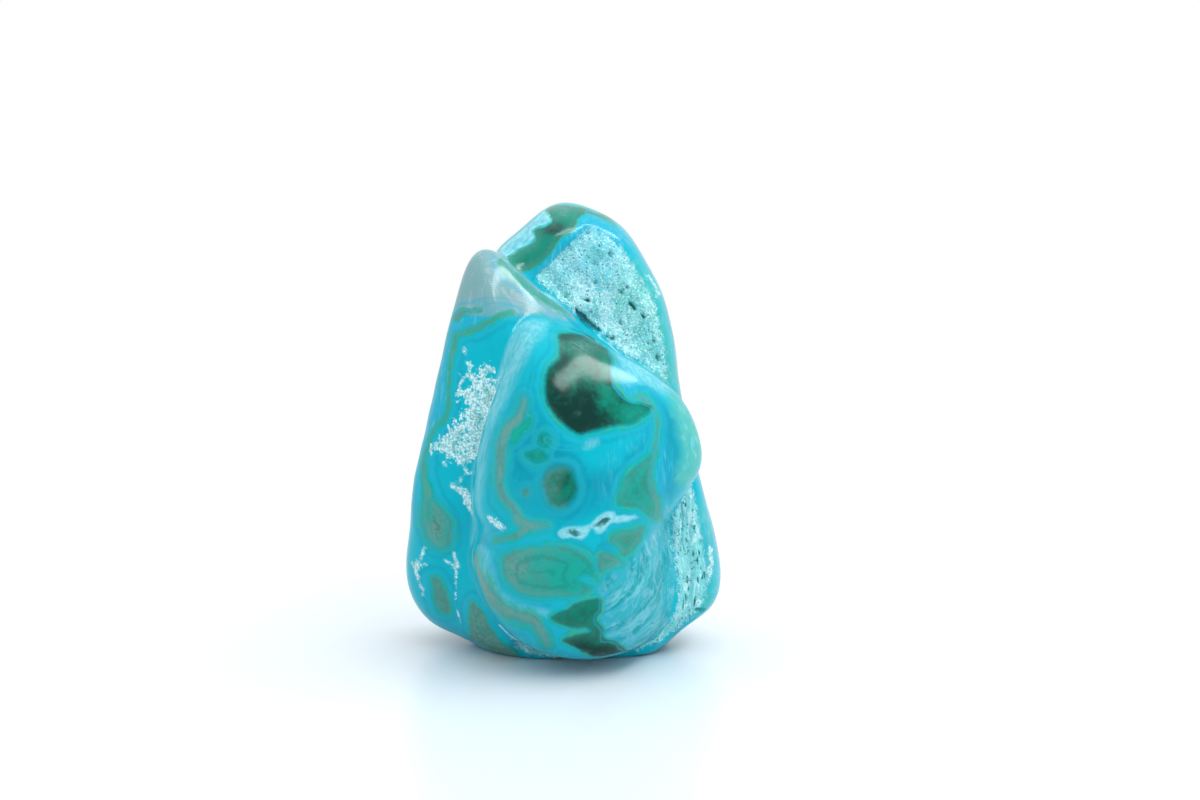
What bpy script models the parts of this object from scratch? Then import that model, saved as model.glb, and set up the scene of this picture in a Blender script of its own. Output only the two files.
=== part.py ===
"""A polished free-form of chrysocolla banded with malachite, standing on a ground base.

The stone is one closed solid. Its form is three flattened lobes that run into one another, with a
broad foot under them:

  rear slab    the tallest mass, leaning back, whose front is left rough and porous
  left body    the mass on the left, whose top edge is the slanting crest
  front lobe   the smooth swelling that stands proud at the front, with a knuckle on its right

Each lobe is a pillow: an outline drawn in the XZ plane, a middle surface that gives the depth, a
half thickness to the front and one to the back, and a round edge. The stone's skin is found along
rays from a point inside it, laid out as the six faces of a cube, so the mesh is one even net. The
rough face is then sunk into that skin.

Lengths below are millimetres; the mesh is in metres. +X is right, +Y is back and +Z is up. The
origin is on the base plane, under the middle of the stone's box.
"""
import bpy
import numpy as np

MM = 0.001

# --- the whole stone ---------------------------------------------------------------------------
HEART = np.array([2.0, 8.0, 42.0])     # the point inside that every ray leaves
NET_CELLS = 28                         # cells along each edge of the net's six faces
LEAST_REACH = 4.0                      # no skin is nearer to the heart than this
MOST_REACH = 80.0                      # and none is further off
HALVINGS = 30                          # halvings of the stretch of ray that holds the skin
CENTRING = np.array([0.235, 1.0, 0.0])  # brings the middle of the stone's box over the origin
SEAM_RADIUS = 2.0                      # radius where one lobe runs into another
LOW_SEAM_RADIUS = 1.0                  # what is added to the front lobe's seam near the base
REAR_LOW_SEAM_RADIUS = 6.0             # and to the seam between the other two lobes
LOW_SEAM_HEIGHT = 14.0                 # height over which that addition fades
FOOT_SEAM_RADIUS = 5.0
BASE_EDGE_RADIUS = 0.6                 # how far the ground base's edge is eased
BASE_SNAP = 0.02                       # skin this near to the base plane lies on it

# --- the lobes ---------------------------------------------------------------------------------
# outline    points (x, z) around the lobe
# centre     the (x, z) that the outline is measured from
# middle     depth y of the middle surface at the centre, then its slopes along x and along z
# bow        how the middle surface bends back with the square of the distance, along x and z
# thickness  half thickness to the front and to the back
# taper      share by which each half thins over TAPER_LENGTH of height
# edge       radius of the round edge to the front and to the back
# lopsided   what is added to the front edge's radius towards the direction next to it, in radians
# power      roundness of the edge, where 2 is an ellipse
# fade       how soon the outline's wiggles die out towards the centre
TAPER_LENGTH = 45.0
EDGE_SOFTNESS = 0.25
LOBES = {
    "rear_slab": dict(
        outline=[(-13.6, 80.1), (-10.1, 83.3), (-6.9, 86.0), (-3.9, 88.2), (-0.5, 89.2),
                 (4.7, 88.0), (11.0, 84.9), (15.5, 79.6), (19.3, 73.2), (22.0, 64.6),
                 (23.5, 53.5), (25.7, 45.2), (28.0, 34.5), (30.0, 24.6), (31.2, 17.2),
                 (31.2, 13.0), (30.0, 9.2), (26.8, 5.4), (20.5, 1.0), (8.0, -2.0),
                 (-6.0, -1.5), (-15.0, 3.0), (-20.0, 11.0), (-22.0, 22.0), (-21.5, 36.0),
                 (-19.5, 52.0), (-17.0, 68.0), (-15.5, 76.0)],
        centre=(3.0, 38.0), middle=(7.5, 0.13, 0.15), bow=(0.0, 0.0), thickness=(11.0, 16.0),
        taper=(0.0, 0.33), edge=(6.5, 26.0), lopsided=(0.0, 0.0), power=2.2, fade=3.0),
    "left_body": dict(
        outline=[(-14.6, 81.2), (-16.8, 80.9), (-18.3, 79.1), (-19.5, 76.6), (-21.4, 70.8),
                 (-24.0, 61.9), (-27.0, 51.8), (-28.7, 43.5), (-30.7, 32.2), (-31.4, 21.5),
                 (-31.5, 14.2), (-30.3, 9.0), (-26.8, 4.2), (-18.9, 1.2), (-10.0, -0.6),
                 (5.0, -1.0), (13.0, 3.0), (16.0, 12.0), (17.0, 24.0), (17.0, 36.0),
                 (17.0, 46.0), (15.5, 54.0), (12.5, 58.5), (8.5, 62.4), (3.2, 66.6),
                 (-2.7, 71.2), (-8.6, 76.3)],
        centre=(-5.0, 36.0), middle=(-1.0, -0.10, -0.12), bow=(0.0, 0.0035),
        thickness=(9.5, 20.0), taper=(0.1, 0.2), edge=(13.0, 22.0), lopsided=(0.0, 0.0),
        power=2.0, fade=3.0),
    "front_lobe": dict(
        outline=[(-3.4, 68.3), (-7.2, 68.0), (-9.8, 64.9), (-11.4, 60.2), (-13.2, 54.3),
                 (-15.1, 48.8), (-16.5, 43.1), (-17.6, 37.2), (-17.6, 31.8), (-17.3, 27.5),
                 (-17.8, 23.2), (-17.3, 19.2), (-15.4, 14.2), (-12.5, 9.5), (-8.0, 5.5),
                 (-2.0, 3.0), (5.0, 2.0), (12.0, 2.6), (17.0, 5.5), (19.6, 10.5),
                 (20.3, 16.0), (20.5, 22.0), (20.8, 28.0), (21.8, 31.2), (23.2, 33.6),
                 (25.1, 36.4), (26.5, 39.0), (26.8, 42.0), (26.2, 45.2), (24.8, 49.0),
                 (22.8, 52.4), (19.8, 55.6), (14.8, 59.8), (9.0, 63.2), (4.6, 65.8),
                 (0.5, 67.6)],
        centre=(3.0, 36.0), middle=(-14.0, 0.12, 0.08), bow=(0.010, 0.004),
        thickness=(12.0, 14.0), taper=(0.12, 0.12), edge=(14.0, 13.0), lopsided=(4.0, -0.5),
        power=2.0, fade=2.2),
}
FOOT_CENTRE = np.array([2.5, 6.5, 12.0])
FOOT_RADII = np.array([23.5, 16.0, 15.5])

# --- hollows and swells of the polished skin: centre, radii, depth (less than 0 swells) ----------
HOLLOWS = [
    ((-32.0, 8.0, 52.0), (9.0, 12.0, 14.0), 1.5),       # left flank, under the peak
    ((-31.0, 12.0, 18.0), (8.0, 10.0, 9.0), -0.6),      # left flank, low swell
    ((9.0, 27.0, 64.0), (11.0, 10.0, 12.0), 3.0),       # back, upper hollow
    ((-13.0, 26.0, 36.0), (10.0, 10.0, 17.0), 2.6),     # back, long hollow
    ((12.0, 27.0, 28.0), (12.0, 10.0, 10.0), -1.8),     # back, low swell
    ((27.0, 16.0, 40.0), (8.0, 10.0, 12.0), 1.2),       # right flank
    ((-15.0, -18.0, 27.5), (7.0, 9.0, 3.6), 1.0),       # front lobe, waist on its left
    ((19.0, -15.0, 25.0), (10.0, 10.0, 5.5), 1.5),      # front lobe, under the knuckle
    ((27.0, -0.5, 2.0), (6.5, 9.0, 5.0), 2.1),          # underside, at the right
    ((16.0, -13.0, 0.5), (8.0, 6.0, 3.0), 1.9),         # underside, at the front right
    ((-11.0, -10.0, 0.0), (8.0, 5.0, 3.0), 2.1),        # underside, at the front left
]
WAVE_DEPTH = 0.3                       # slow unevenness that hand grinding leaves

# --- the rough face on the front of the rear slab ----------------------------------------------
ROUGH_EDGE_POINT = (-1.5, 80.7)        # a point (x, z) on the line that it starts from
ROUGH_EDGE_NORMAL = (0.674, -0.739)    # across that line, into the rough face
ROUGH_RIM = 1.6                        # width of polished rim left round the slab
ROUGH_LEFT_END = -11.0                 # left of this the slab is polished again
ROUGH_SINK = 0.25                      # how far the rough face's high points lie below the polish
LUMP_DEPTH = 0.8                       # from the tops of its lumps to the pits between them
FURROW_DEPTH = 0.9                     # upright furrows, low on the right
FURROW_PITCH = 4.3
CREVICE = ((4.8, 2.0, 67.0), (4.2, 3.0, 1.9), 1.6)      # beside the crest: centre, radii, depth
SLOPE_STEP = 0.05                      # how far apart the field is read for its slope

STONE_COLOUR = (0.02, 0.36, 0.42, 1.0)
STONE_ROUGHNESS = 0.2


def periodic_spline(knots, values, angles):
    """Smooth closed curve of radius over angle: cubic pieces whose bends agree at each knot."""
    count = len(knots)
    step = np.diff(np.append(knots, knots[0] + 2.0 * np.pi))
    ends = np.append(values, values[0])
    slope = np.diff(ends) / step
    matrix = np.zeros((count, count))
    for row in range(count):
        matrix[row, row - 1] += step[row - 1]
        matrix[row, row] += 2.0 * (step[row - 1] + step[row])
        matrix[row, (row + 1) % count] += step[row]
    bend = np.linalg.solve(matrix, 6.0 * (slope - np.roll(slope, 1)))
    bend = np.append(bend, bend[0])
    turned = (angles - knots[0]) % (2.0 * np.pi) + knots[0]
    at = np.clip(np.searchsorted(knots, turned, side="right") - 1, 0, count - 1)
    past = turned - knots[at]
    left = step[at] - past
    cubic = (bend[at] * left ** 3 + bend[at + 1] * past ** 3) / (6.0 * step[at])
    start = (ends[at] / step[at] - bend[at] * step[at] / 6.0) * left
    end = (ends[at + 1] / step[at] - bend[at + 1] * step[at] / 6.0) * past
    return cubic + start + end


def outline_waves(lobe, waves=24, samples=256):
    """The outline's radius as a sum of waves round the centre, one complex number a wave."""
    spokes = np.array(lobe["outline"]) - np.array(lobe["centre"])
    angle = np.arctan2(spokes[:, 1], spokes[:, 0])
    order = np.argsort(angle)
    around = np.arange(samples) * 2.0 * np.pi / samples
    radius = periodic_spline(angle[order], np.hypot(spokes[:, 0], spokes[:, 1])[order], around)
    parts = np.fft.rfft(radius) / samples
    parts[1:] *= 2.0
    return parts[:waves + 1]


def wave_sum(parts, turn):
    """The polynomial with these parts at the complex number turn, by Horner's rule."""
    total = np.full(turn.shape, parts[-1])
    for part in parts[-2::-1]:
        total = total * turn + part
    return total


def soft_positive(value, softness):
    """The larger of value and 0, with the corner between them rounded."""
    return 0.5 * (value + np.sqrt(value * value + softness * softness))


def smooth_step(low, high, value):
    """0 below low, 1 above high, and an S between them."""
    share = np.clip((value - low) / (high - low), 0.0, 1.0)
    return share * share * (3.0 - 2.0 * share)


def lobe_frame(lobe, parts, points):
    """How far each point is inside the outline, how far behind the middle surface, and where."""
    across = points[..., 0] - lobe["centre"][0]
    up = points[..., 2] - lobe["centre"][1]
    radius = np.hypot(across, up) + 1e-9
    turn = (across + 1j * up) / radius
    share = np.minimum(radius / wave_sum(parts, turn).real, 1.0)
    turn_in = turn * (1.0 - (1.0 - share) ** lobe["fade"])
    rim = wave_sum(parts, turn_in).real
    rim_slope = -wave_sum(parts * np.arange(len(parts)), turn_in).imag
    inside = (rim - radius) / np.sqrt(1.0 + (rim_slope / rim) ** 2)
    depth, slope_x, slope_z = lobe["middle"]
    bend = lobe["bow"][0] * across ** 2 + lobe["bow"][1] * up ** 2
    behind = points[..., 1] - (depth + slope_x * across + slope_z * up + bend)
    return inside, behind, up, turn


def lobe_field(lobe, parts, points):
    """About the distance out of the lobe, in mm; less than 0 inside it.

    A point's distance in from the outline, over the edge radius, and its distance from the middle
    surface, over the half thickness, are joined as the two sides of a right triangle.
    """
    inside, behind, up, turn = lobe_frame(lobe, parts, points)
    front = behind < 0.0
    thin = up / TAPER_LENGTH
    thickness = np.where(front, lobe["thickness"][0] * (1.0 - lobe["taper"][0] * thin),
                         lobe["thickness"][1] * (1.0 - lobe["taper"][1] * thin))
    extra, towards = lobe["lopsided"]
    lean = turn.real * np.cos(towards) + turn.imag * np.sin(towards)
    edge = np.where(front, lobe["edge"][0] + extra * lean, lobe["edge"][1])
    to_edge = soft_positive(1.0 - inside / edge, EDGE_SOFTNESS)
    to_edge += 1.0 - soft_positive(1.0, EDGE_SOFTNESS)
    power = lobe["power"]
    both = np.abs(to_edge) ** power + np.abs(behind / thickness) ** power
    return (both ** (1.0 / power) - 1.0) * edge


def smooth_union(one, other, radius):
    """The smaller of two fields, with the valley between them filled to about this radius."""
    share = np.clip(0.5 + 0.5 * (other - one) / radius, 0.0, 1.0)
    return other * (1.0 - share) + one * share - radius * share * (1.0 - share)


def blobs(points, centre, radii):
    """A bell-shaped hill: 1 at the centre, and falling off over the three radii."""
    return np.exp(-(((points - np.array(centre)) / np.array(radii)) ** 2).sum(-1))


def rough_share(points, waves):
    """1 on the rough face, 0 on polish: in from the slab's rim, past the line, off the others."""
    rear, left, front = lobe_fields(points, waves)
    inside, behind, _, _ = lobe_frame(LOBES["rear_slab"], waves["rear_slab"], points)
    past = ((points[..., 0] - ROUGH_EDGE_POINT[0]) * ROUGH_EDGE_NORMAL[0]
            + (points[..., 2] - ROUGH_EDGE_POINT[1]) * ROUGH_EDGE_NORMAL[1])
    share = smooth_step(ROUGH_RIM, ROUGH_RIM + 1.5, inside) * smooth_step(0.0, 1.5, past)
    share = share * smooth_step(ROUGH_LEFT_END, ROUGH_LEFT_END + 3.0, points[..., 0])
    apart = np.minimum(left, front) - rear
    return share * smooth_step(2.0, 4.0, -behind) * smooth_step(0.5, 3.5, apart)


def rough_relief(points):
    """Depth of the rough face under the polish: a step down, lumps, furrows and a crevice."""
    x, z = points[..., 0], points[..., 2]
    lumps = np.sin(x / 1.4 + 1.5 * np.sin(z / 4.1)) * np.sin(z / 1.7 + 1.5 * np.sin(x / 3.3))
    furrows = np.cos(2.0 * np.pi * (x + 0.06 * z) / FURROW_PITCH + np.sin(z / 5.0))
    low = smooth_step(42.0, 34.0, z)
    depth = ROUGH_SINK + LUMP_DEPTH * (0.5 + 0.5 * lumps) * (1.0 - 0.6 * low)
    depth += FURROW_DEPTH * (0.5 + 0.5 * furrows) * low
    centre, radii, crevice_depth = CREVICE
    return depth + crevice_depth * blobs(points, centre, radii)


def lobe_fields(points, waves):
    """The fields of the rear slab, the left body and the front lobe."""
    return [lobe_field(LOBES[name], waves[name], points) for name in LOBES]


def stone_field(points, waves):
    """About the distance out of the stone, in mm; less than 0 inside it."""
    rear, left, front = lobe_fields(points, waves)
    foot = np.linalg.norm((points - FOOT_CENTRE) / FOOT_RADII, axis=-1) - 1.0
    low_seam = np.exp(-(points[..., 2] / LOW_SEAM_HEIGHT) ** 2)
    field = smooth_union(rear, left, SEAM_RADIUS + REAR_LOW_SEAM_RADIUS * low_seam)
    field = smooth_union(field, foot * FOOT_RADII[1], FOOT_SEAM_RADIUS)
    field = smooth_union(field, front, SEAM_RADIUS + LOW_SEAM_RADIUS * low_seam)
    for centre, radii, depth in HOLLOWS:
        field = field + depth * blobs(points, centre, radii)
    x, y, z = points[..., 0], points[..., 1], points[..., 2]
    unevenness = np.sin(x / 6.3 + 1.0) * np.sin(y / 7.1 + 2.0)
    unevenness = unevenness + 0.8 * np.sin(z / 7.7 + x / 11.0) * np.cos(y / 6.1 - z / 15.0)
    return -smooth_union(-field - WAVE_DEPTH * unevenness, z, BASE_EDGE_RADIUS)


def outward(points, waves):
    """The skin's outward direction at each point, from the field's slope on either side of it."""
    slopes = []
    for axis in np.eye(3) * SLOPE_STEP:
        slopes.append(stone_field(points + axis, waves) - stone_field(points - axis, waves))
    slopes = np.stack(slopes, -1)
    return slopes / np.linalg.norm(slopes, axis=-1, keepdims=True)


def cube_net(cells):
    """A closed net of squares on a cube: each point's whole-number place, and the squares."""
    steps = np.arange(cells + 1)
    one, two = np.meshgrid(steps, steps, indexing="ij")
    low, high = np.zeros_like(one), np.full_like(one, cells)
    sides = [(high, one, two), (low, cells - one, two), (cells - one, high, two),
             (one, low, two), (cells - two, one, high), (two, one, low)]
    places = np.stack([np.stack(side, -1) for side in sides]).reshape(-1, 3)
    keys = (places[:, 0] * (cells + 1) + places[:, 1]) * (cells + 1) + places[:, 2]
    _, first, welded = np.unique(keys, return_index=True, return_inverse=True)
    corner = welded.reshape(6, cells + 1, cells + 1)
    squares = np.stack([corner[:, :-1, :-1], corner[:, 1:, :-1],
                        corner[:, 1:, 1:], corner[:, :-1, 1:]], -1)
    return places[first], squares.reshape(-1, 4)


def skin_points(places, cells, waves):
    """Where each ray through a place on the cube leaves the stone, by halving the ray."""
    ways = np.tan((places / cells * 2.0 - 1.0) * np.pi / 4.0)
    ways /= np.linalg.norm(ways, axis=1, keepdims=True)
    low = np.full(len(ways), LEAST_REACH)
    high = np.full(len(ways), MOST_REACH)
    for _ in range(HALVINGS):
        middle = 0.5 * (low + high)
        within = stone_field(HEART + ways * middle[:, None], waves) < 0.0
        low = np.where(within, middle, low)
        high = np.where(within, high, middle)
    points = HEART + ways * (0.5 * (low + high))[:, None]
    depth = rough_share(points, waves) * rough_relief(points)
    points -= outward(points, waves) * depth[:, None]
    points[points[:, 2] < BASE_SNAP, 2] = 0.0
    return points


def shorter_diagonals(points, squares):
    """Each square as two triangles, cut along its shorter diagonal."""
    a, b, c, d = (points[squares[:, corner]] for corner in range(4))
    first = np.linalg.norm(a - c, axis=1) <= np.linalg.norm(b - d, axis=1)
    by_ac = [squares[first][:, [0, 1, 2]], squares[first][:, [0, 2, 3]]]
    by_bd = [squares[~first][:, [0, 1, 3]], squares[~first][:, [1, 2, 3]]]
    return np.concatenate(by_ac + by_bd)


def stone_material():
    """Deep blue-green polished stone."""
    material = bpy.data.materials.new("banded_stone")
    material.use_nodes = True
    shader = material.node_tree.nodes["Principled BSDF"]
    shader.inputs["Base Color"].default_value = STONE_COLOUR
    shader.inputs["Roughness"].default_value = STONE_ROUGHNESS
    shader.inputs["Metallic"].default_value = 0.0
    return material


def make_stone():
    """The whole stone: one closed, smooth-shaded mesh standing on z = 0."""
    waves = {name: outline_waves(lobe) for name, lobe in LOBES.items()}
    places, squares = cube_net(NET_CELLS)
    points = skin_points(places, NET_CELLS, waves)
    triangles = shorter_diagonals(points, squares)
    mesh = bpy.data.meshes.new("polished_stone")
    mesh.from_pydata(((points + CENTRING) * MM).tolist(), [], triangles.tolist())
    mesh.shade_smooth()
    mesh.materials.append(stone_material())
    stone = bpy.data.objects.new("polished_stone", mesh)
    bpy.context.scene.collection.objects.link(stone)
    return stone


for old in list(bpy.data.objects):
    bpy.data.objects.remove(old)
make_stone()
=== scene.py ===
"""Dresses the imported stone: its fine skin, its bands and pores, the floor, the light and the camera.

Lengths in the tables are millimetres unless a name says otherwise; meshes are in metres. The form
is the one that the solid was made from: three pillow-shaped lobes and a foot that run together,
cut off flat at z = 0. Here the same form is laid out on a finer net and its rough face is pitted.
"""
import math

import bpy
import numpy as np
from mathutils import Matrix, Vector


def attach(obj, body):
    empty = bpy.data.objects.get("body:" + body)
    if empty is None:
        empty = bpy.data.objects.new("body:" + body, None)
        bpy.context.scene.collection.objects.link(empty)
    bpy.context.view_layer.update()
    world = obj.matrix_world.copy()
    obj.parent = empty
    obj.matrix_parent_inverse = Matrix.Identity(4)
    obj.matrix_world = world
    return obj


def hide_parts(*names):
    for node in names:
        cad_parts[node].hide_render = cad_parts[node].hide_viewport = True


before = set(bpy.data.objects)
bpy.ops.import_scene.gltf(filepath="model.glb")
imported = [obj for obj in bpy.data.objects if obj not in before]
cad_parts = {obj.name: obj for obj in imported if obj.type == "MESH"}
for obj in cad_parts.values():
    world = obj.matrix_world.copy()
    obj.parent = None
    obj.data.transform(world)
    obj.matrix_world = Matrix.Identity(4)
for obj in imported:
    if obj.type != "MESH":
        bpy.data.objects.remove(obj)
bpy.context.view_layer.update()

MM = 0.001

# --- the stone's form --------------------------------------------------------------------------
HEART = np.array([2.0, 8.0, 42.0])
CENTRING = np.array([0.235, 1.0, 0.0])
SEAM_RADIUS = 2.0
LOW_SEAM_RADIUS = 1.0
REAR_LOW_SEAM_RADIUS = 6.0
LOW_SEAM_HEIGHT = 14.0
FOOT_SEAM_RADIUS = 5.0
BASE_EDGE_RADIUS = 0.6
BASE_SNAP = 0.02
TAPER_LENGTH = 45.0
EDGE_SOFTNESS = 0.25
LOBES = {
    "rear_slab": dict(
        outline=[(-13.6, 80.1), (-10.1, 83.3), (-6.9, 86.0), (-3.9, 88.2), (-0.5, 89.2),
                 (4.7, 88.0), (11.0, 84.9), (15.5, 79.6), (19.3, 73.2), (22.0, 64.6),
                 (23.5, 53.5), (25.7, 45.2), (28.0, 34.5), (30.0, 24.6), (31.2, 17.2),
                 (31.2, 13.0), (30.0, 9.2), (26.8, 5.4), (20.5, 1.0), (8.0, -2.0),
                 (-6.0, -1.5), (-15.0, 3.0), (-20.0, 11.0), (-22.0, 22.0), (-21.5, 36.0),
                 (-19.5, 52.0), (-17.0, 68.0), (-15.5, 76.0)],
        centre=(3.0, 38.0), middle=(7.5, 0.13, 0.15), bow=(0.0, 0.0), thickness=(11.0, 16.0),
        taper=(0.0, 0.33), edge=(6.5, 26.0), lopsided=(0.0, 0.0), power=2.2, fade=3.0),
    "left_body": dict(
        outline=[(-14.6, 81.2), (-16.8, 80.9), (-18.3, 79.1), (-19.5, 76.6), (-21.4, 70.8),
                 (-24.0, 61.9), (-27.0, 51.8), (-28.7, 43.5), (-30.7, 32.2), (-31.4, 21.5),
                 (-31.5, 14.2), (-30.3, 9.0), (-26.8, 4.2), (-18.9, 1.2), (-10.0, -0.6),
                 (5.0, -1.0), (13.0, 3.0), (16.0, 12.0), (17.0, 24.0), (17.0, 36.0),
                 (17.0, 46.0), (15.5, 54.0), (12.5, 58.5), (8.5, 62.4), (3.2, 66.6),
                 (-2.7, 71.2), (-8.6, 76.3)],
        centre=(-5.0, 36.0), middle=(-1.0, -0.10, -0.12), bow=(0.0, 0.0035),
        thickness=(9.5, 20.0), taper=(0.1, 0.2), edge=(13.0, 22.0), lopsided=(0.0, 0.0),
        power=2.0, fade=3.0),
    "front_lobe": dict(
        outline=[(-3.4, 68.3), (-7.2, 68.0), (-9.8, 64.9), (-11.4, 60.2), (-13.2, 54.3),
                 (-15.1, 48.8), (-16.5, 43.1), (-17.6, 37.2), (-17.6, 31.8), (-17.3, 27.5),
                 (-17.8, 23.2), (-17.3, 19.2), (-15.4, 14.2), (-12.5, 9.5), (-8.0, 5.5),
                 (-2.0, 3.0), (5.0, 2.0), (12.0, 2.6), (17.0, 5.5), (19.6, 10.5),
                 (20.3, 16.0), (20.5, 22.0), (20.8, 28.0), (21.8, 31.2), (23.2, 33.6),
                 (25.1, 36.4), (26.5, 39.0), (26.8, 42.0), (26.2, 45.2), (24.8, 49.0),
                 (22.8, 52.4), (19.8, 55.6), (14.8, 59.8), (9.0, 63.2), (4.6, 65.8),
                 (0.5, 67.6)],
        centre=(3.0, 36.0), middle=(-14.0, 0.12, 0.08), bow=(0.010, 0.004),
        thickness=(12.0, 14.0), taper=(0.12, 0.12), edge=(14.0, 13.0), lopsided=(4.0, -0.5),
        power=2.0, fade=2.2),
}
FOOT_CENTRE = np.array([2.5, 6.5, 12.0])
FOOT_RADII = np.array([23.5, 16.0, 15.5])
HOLLOWS = [
    ((-32.0, 8.0, 52.0), (9.0, 12.0, 14.0), 1.5),
    ((-31.0, 12.0, 18.0), (8.0, 10.0, 9.0), -0.6),
    ((9.0, 27.0, 64.0), (11.0, 10.0, 12.0), 3.0),
    ((-13.0, 26.0, 36.0), (10.0, 10.0, 17.0), 2.6),
    ((12.0, 27.0, 28.0), (12.0, 10.0, 10.0), -1.8),
    ((27.0, 16.0, 40.0), (8.0, 10.0, 12.0), 1.2),
    ((-15.0, -18.0, 27.5), (7.0, 9.0, 3.6), 1.0),
    ((19.0, -15.0, 25.0), (10.0, 10.0, 5.5), 1.5),
    ((27.0, -0.5, 2.0), (6.5, 9.0, 5.0), 2.1),
    ((16.0, -13.0, 0.5), (8.0, 6.0, 3.0), 1.9),
    ((-11.0, -10.0, 0.0), (8.0, 5.0, 3.0), 2.1),
]
WAVE_DEPTH = 0.3
ROUGH_EDGE_POINT = (-1.5, 80.7)
ROUGH_EDGE_NORMAL = (0.674, -0.739)
ROUGH_RIM = 1.6
ROUGH_LEFT_END = -11.0
ROUGH_SINK = 0.25
LUMP_DEPTH = 0.8
FURROW_DEPTH = 0.9
FURROW_PITCH = 4.3
CREVICE = ((4.8, 2.0, 67.0), (4.2, 3.0, 1.9), 1.6)
SLOPE_STEP = 0.05

# --- the net -----------------------------------------------------------------------------------
NET_LEVELS = [(16, 12), (32, 5), (64, 3), (128, 1)]   # cells an edge, and passes at that net
EVENING_ROUNDS = 5                     # rounds of evening out in each pass
ROUGH_PULL = 1.5                       # how much closer the net is drawn on the rough face
LEAST_REACH = 4.0
MOST_REACH = 80.0
HALVINGS = 24
ATLAS_MARGIN = 0.012

# --- the rough face's own grain ----------------------------------------------------------------
CRUMB_DEPTH = 0.3
PORE_DEPTH = 0.65
SMALL_PORE_DEPTH = 0.28
BUMP_DEPTH = 0.18

# --- the room and the camera -------------------------------------------------------------------
ROOM_LIGHT = 1.0                       # strength of the room's light; at 1 the camera sees white
STONE_MIRROR = 0.085                   # how strongly the polish mirrors; 0.5 is plain glass
FLOOR_HALF = 3.0                       # half the floor's side, in metres
FLOOR_REACH = (0.11, 0.32)             # metres from the stone over which the floor clears
LAMP_AIM = (0.0, 0.0, 0.04)            # the point in the stone that both side lamps face, in metres
CAMERA_LENS = 90.0
SENSOR_WIDTH = 36.0
CAMERA_CLIP = 20.0                     # metres that the camera sees
CAMERA_AIM = np.array([7.16, 1.111, 51.303])
CAMERA_PLACE = np.array([7.16, -586.228, 154.867])


def periodic_spline(knots, values, angles):
    """Smooth closed curve of radius over angle: cubic pieces whose bends agree at each knot."""
    count = len(knots)
    step = np.diff(np.append(knots, knots[0] + 2.0 * np.pi))
    ends = np.append(values, values[0])
    slope = np.diff(ends) / step
    matrix = np.zeros((count, count))
    for row in range(count):
        matrix[row, row - 1] += step[row - 1]
        matrix[row, row] += 2.0 * (step[row - 1] + step[row])
        matrix[row, (row + 1) % count] += step[row]
    bend = np.linalg.solve(matrix, 6.0 * (slope - np.roll(slope, 1)))
    bend = np.append(bend, bend[0])
    turned = (angles - knots[0]) % (2.0 * np.pi) + knots[0]
    at = np.clip(np.searchsorted(knots, turned, side="right") - 1, 0, count - 1)
    past = turned - knots[at]
    left = step[at] - past
    cubic = (bend[at] * left ** 3 + bend[at + 1] * past ** 3) / (6.0 * step[at])
    start = (ends[at] / step[at] - bend[at] * step[at] / 6.0) * left
    end = (ends[at + 1] / step[at] - bend[at + 1] * step[at] / 6.0) * past
    return cubic + start + end


def outline_waves(lobe, waves=24, samples=256):
    """The outline's radius as a sum of waves round the centre, one complex number a wave."""
    spokes = np.array(lobe["outline"]) - np.array(lobe["centre"])
    angle = np.arctan2(spokes[:, 1], spokes[:, 0])
    order = np.argsort(angle)
    around = np.arange(samples) * 2.0 * np.pi / samples
    radius = periodic_spline(angle[order], np.hypot(spokes[:, 0], spokes[:, 1])[order], around)
    parts = np.fft.rfft(radius) / samples
    parts[1:] *= 2.0
    return parts[:waves + 1]


LOBE_WAVES = {name: outline_waves(lobe) for name, lobe in LOBES.items()}


def wave_sum(parts, turn):
    """The polynomial with these parts at the complex number turn, by Horner's rule."""
    total = np.full(turn.shape, parts[-1])
    for part in parts[-2::-1]:
        total = total * turn + part
    return total


def soft_positive(value, softness):
    """The larger of value and 0, with the corner between them rounded."""
    return 0.5 * (value + np.sqrt(value * value + softness * softness))


def smooth_step(low, high, value):
    """0 below low, 1 above high, and an S between them."""
    share = np.clip((value - low) / (high - low), 0.0, 1.0)
    return share * share * (3.0 - 2.0 * share)


def lobe_frame(name, points):
    """How far each point is inside the outline, how far behind the middle surface, and where."""
    lobe, parts = LOBES[name], LOBE_WAVES[name]
    across = points[..., 0] - lobe["centre"][0]
    up = points[..., 2] - lobe["centre"][1]
    radius = np.hypot(across, up) + 1e-9
    turn = (across + 1j * up) / radius
    share = np.minimum(radius / wave_sum(parts, turn).real, 1.0)
    turn_in = turn * (1.0 - (1.0 - share) ** lobe["fade"])
    rim = wave_sum(parts, turn_in).real
    rim_slope = -wave_sum(parts * np.arange(len(parts)), turn_in).imag
    inside = (rim - radius) / np.sqrt(1.0 + (rim_slope / rim) ** 2)
    depth, slope_x, slope_z = lobe["middle"]
    bend = lobe["bow"][0] * across ** 2 + lobe["bow"][1] * up ** 2
    behind = points[..., 1] - (depth + slope_x * across + slope_z * up + bend)
    return inside, behind, up, turn


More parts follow.
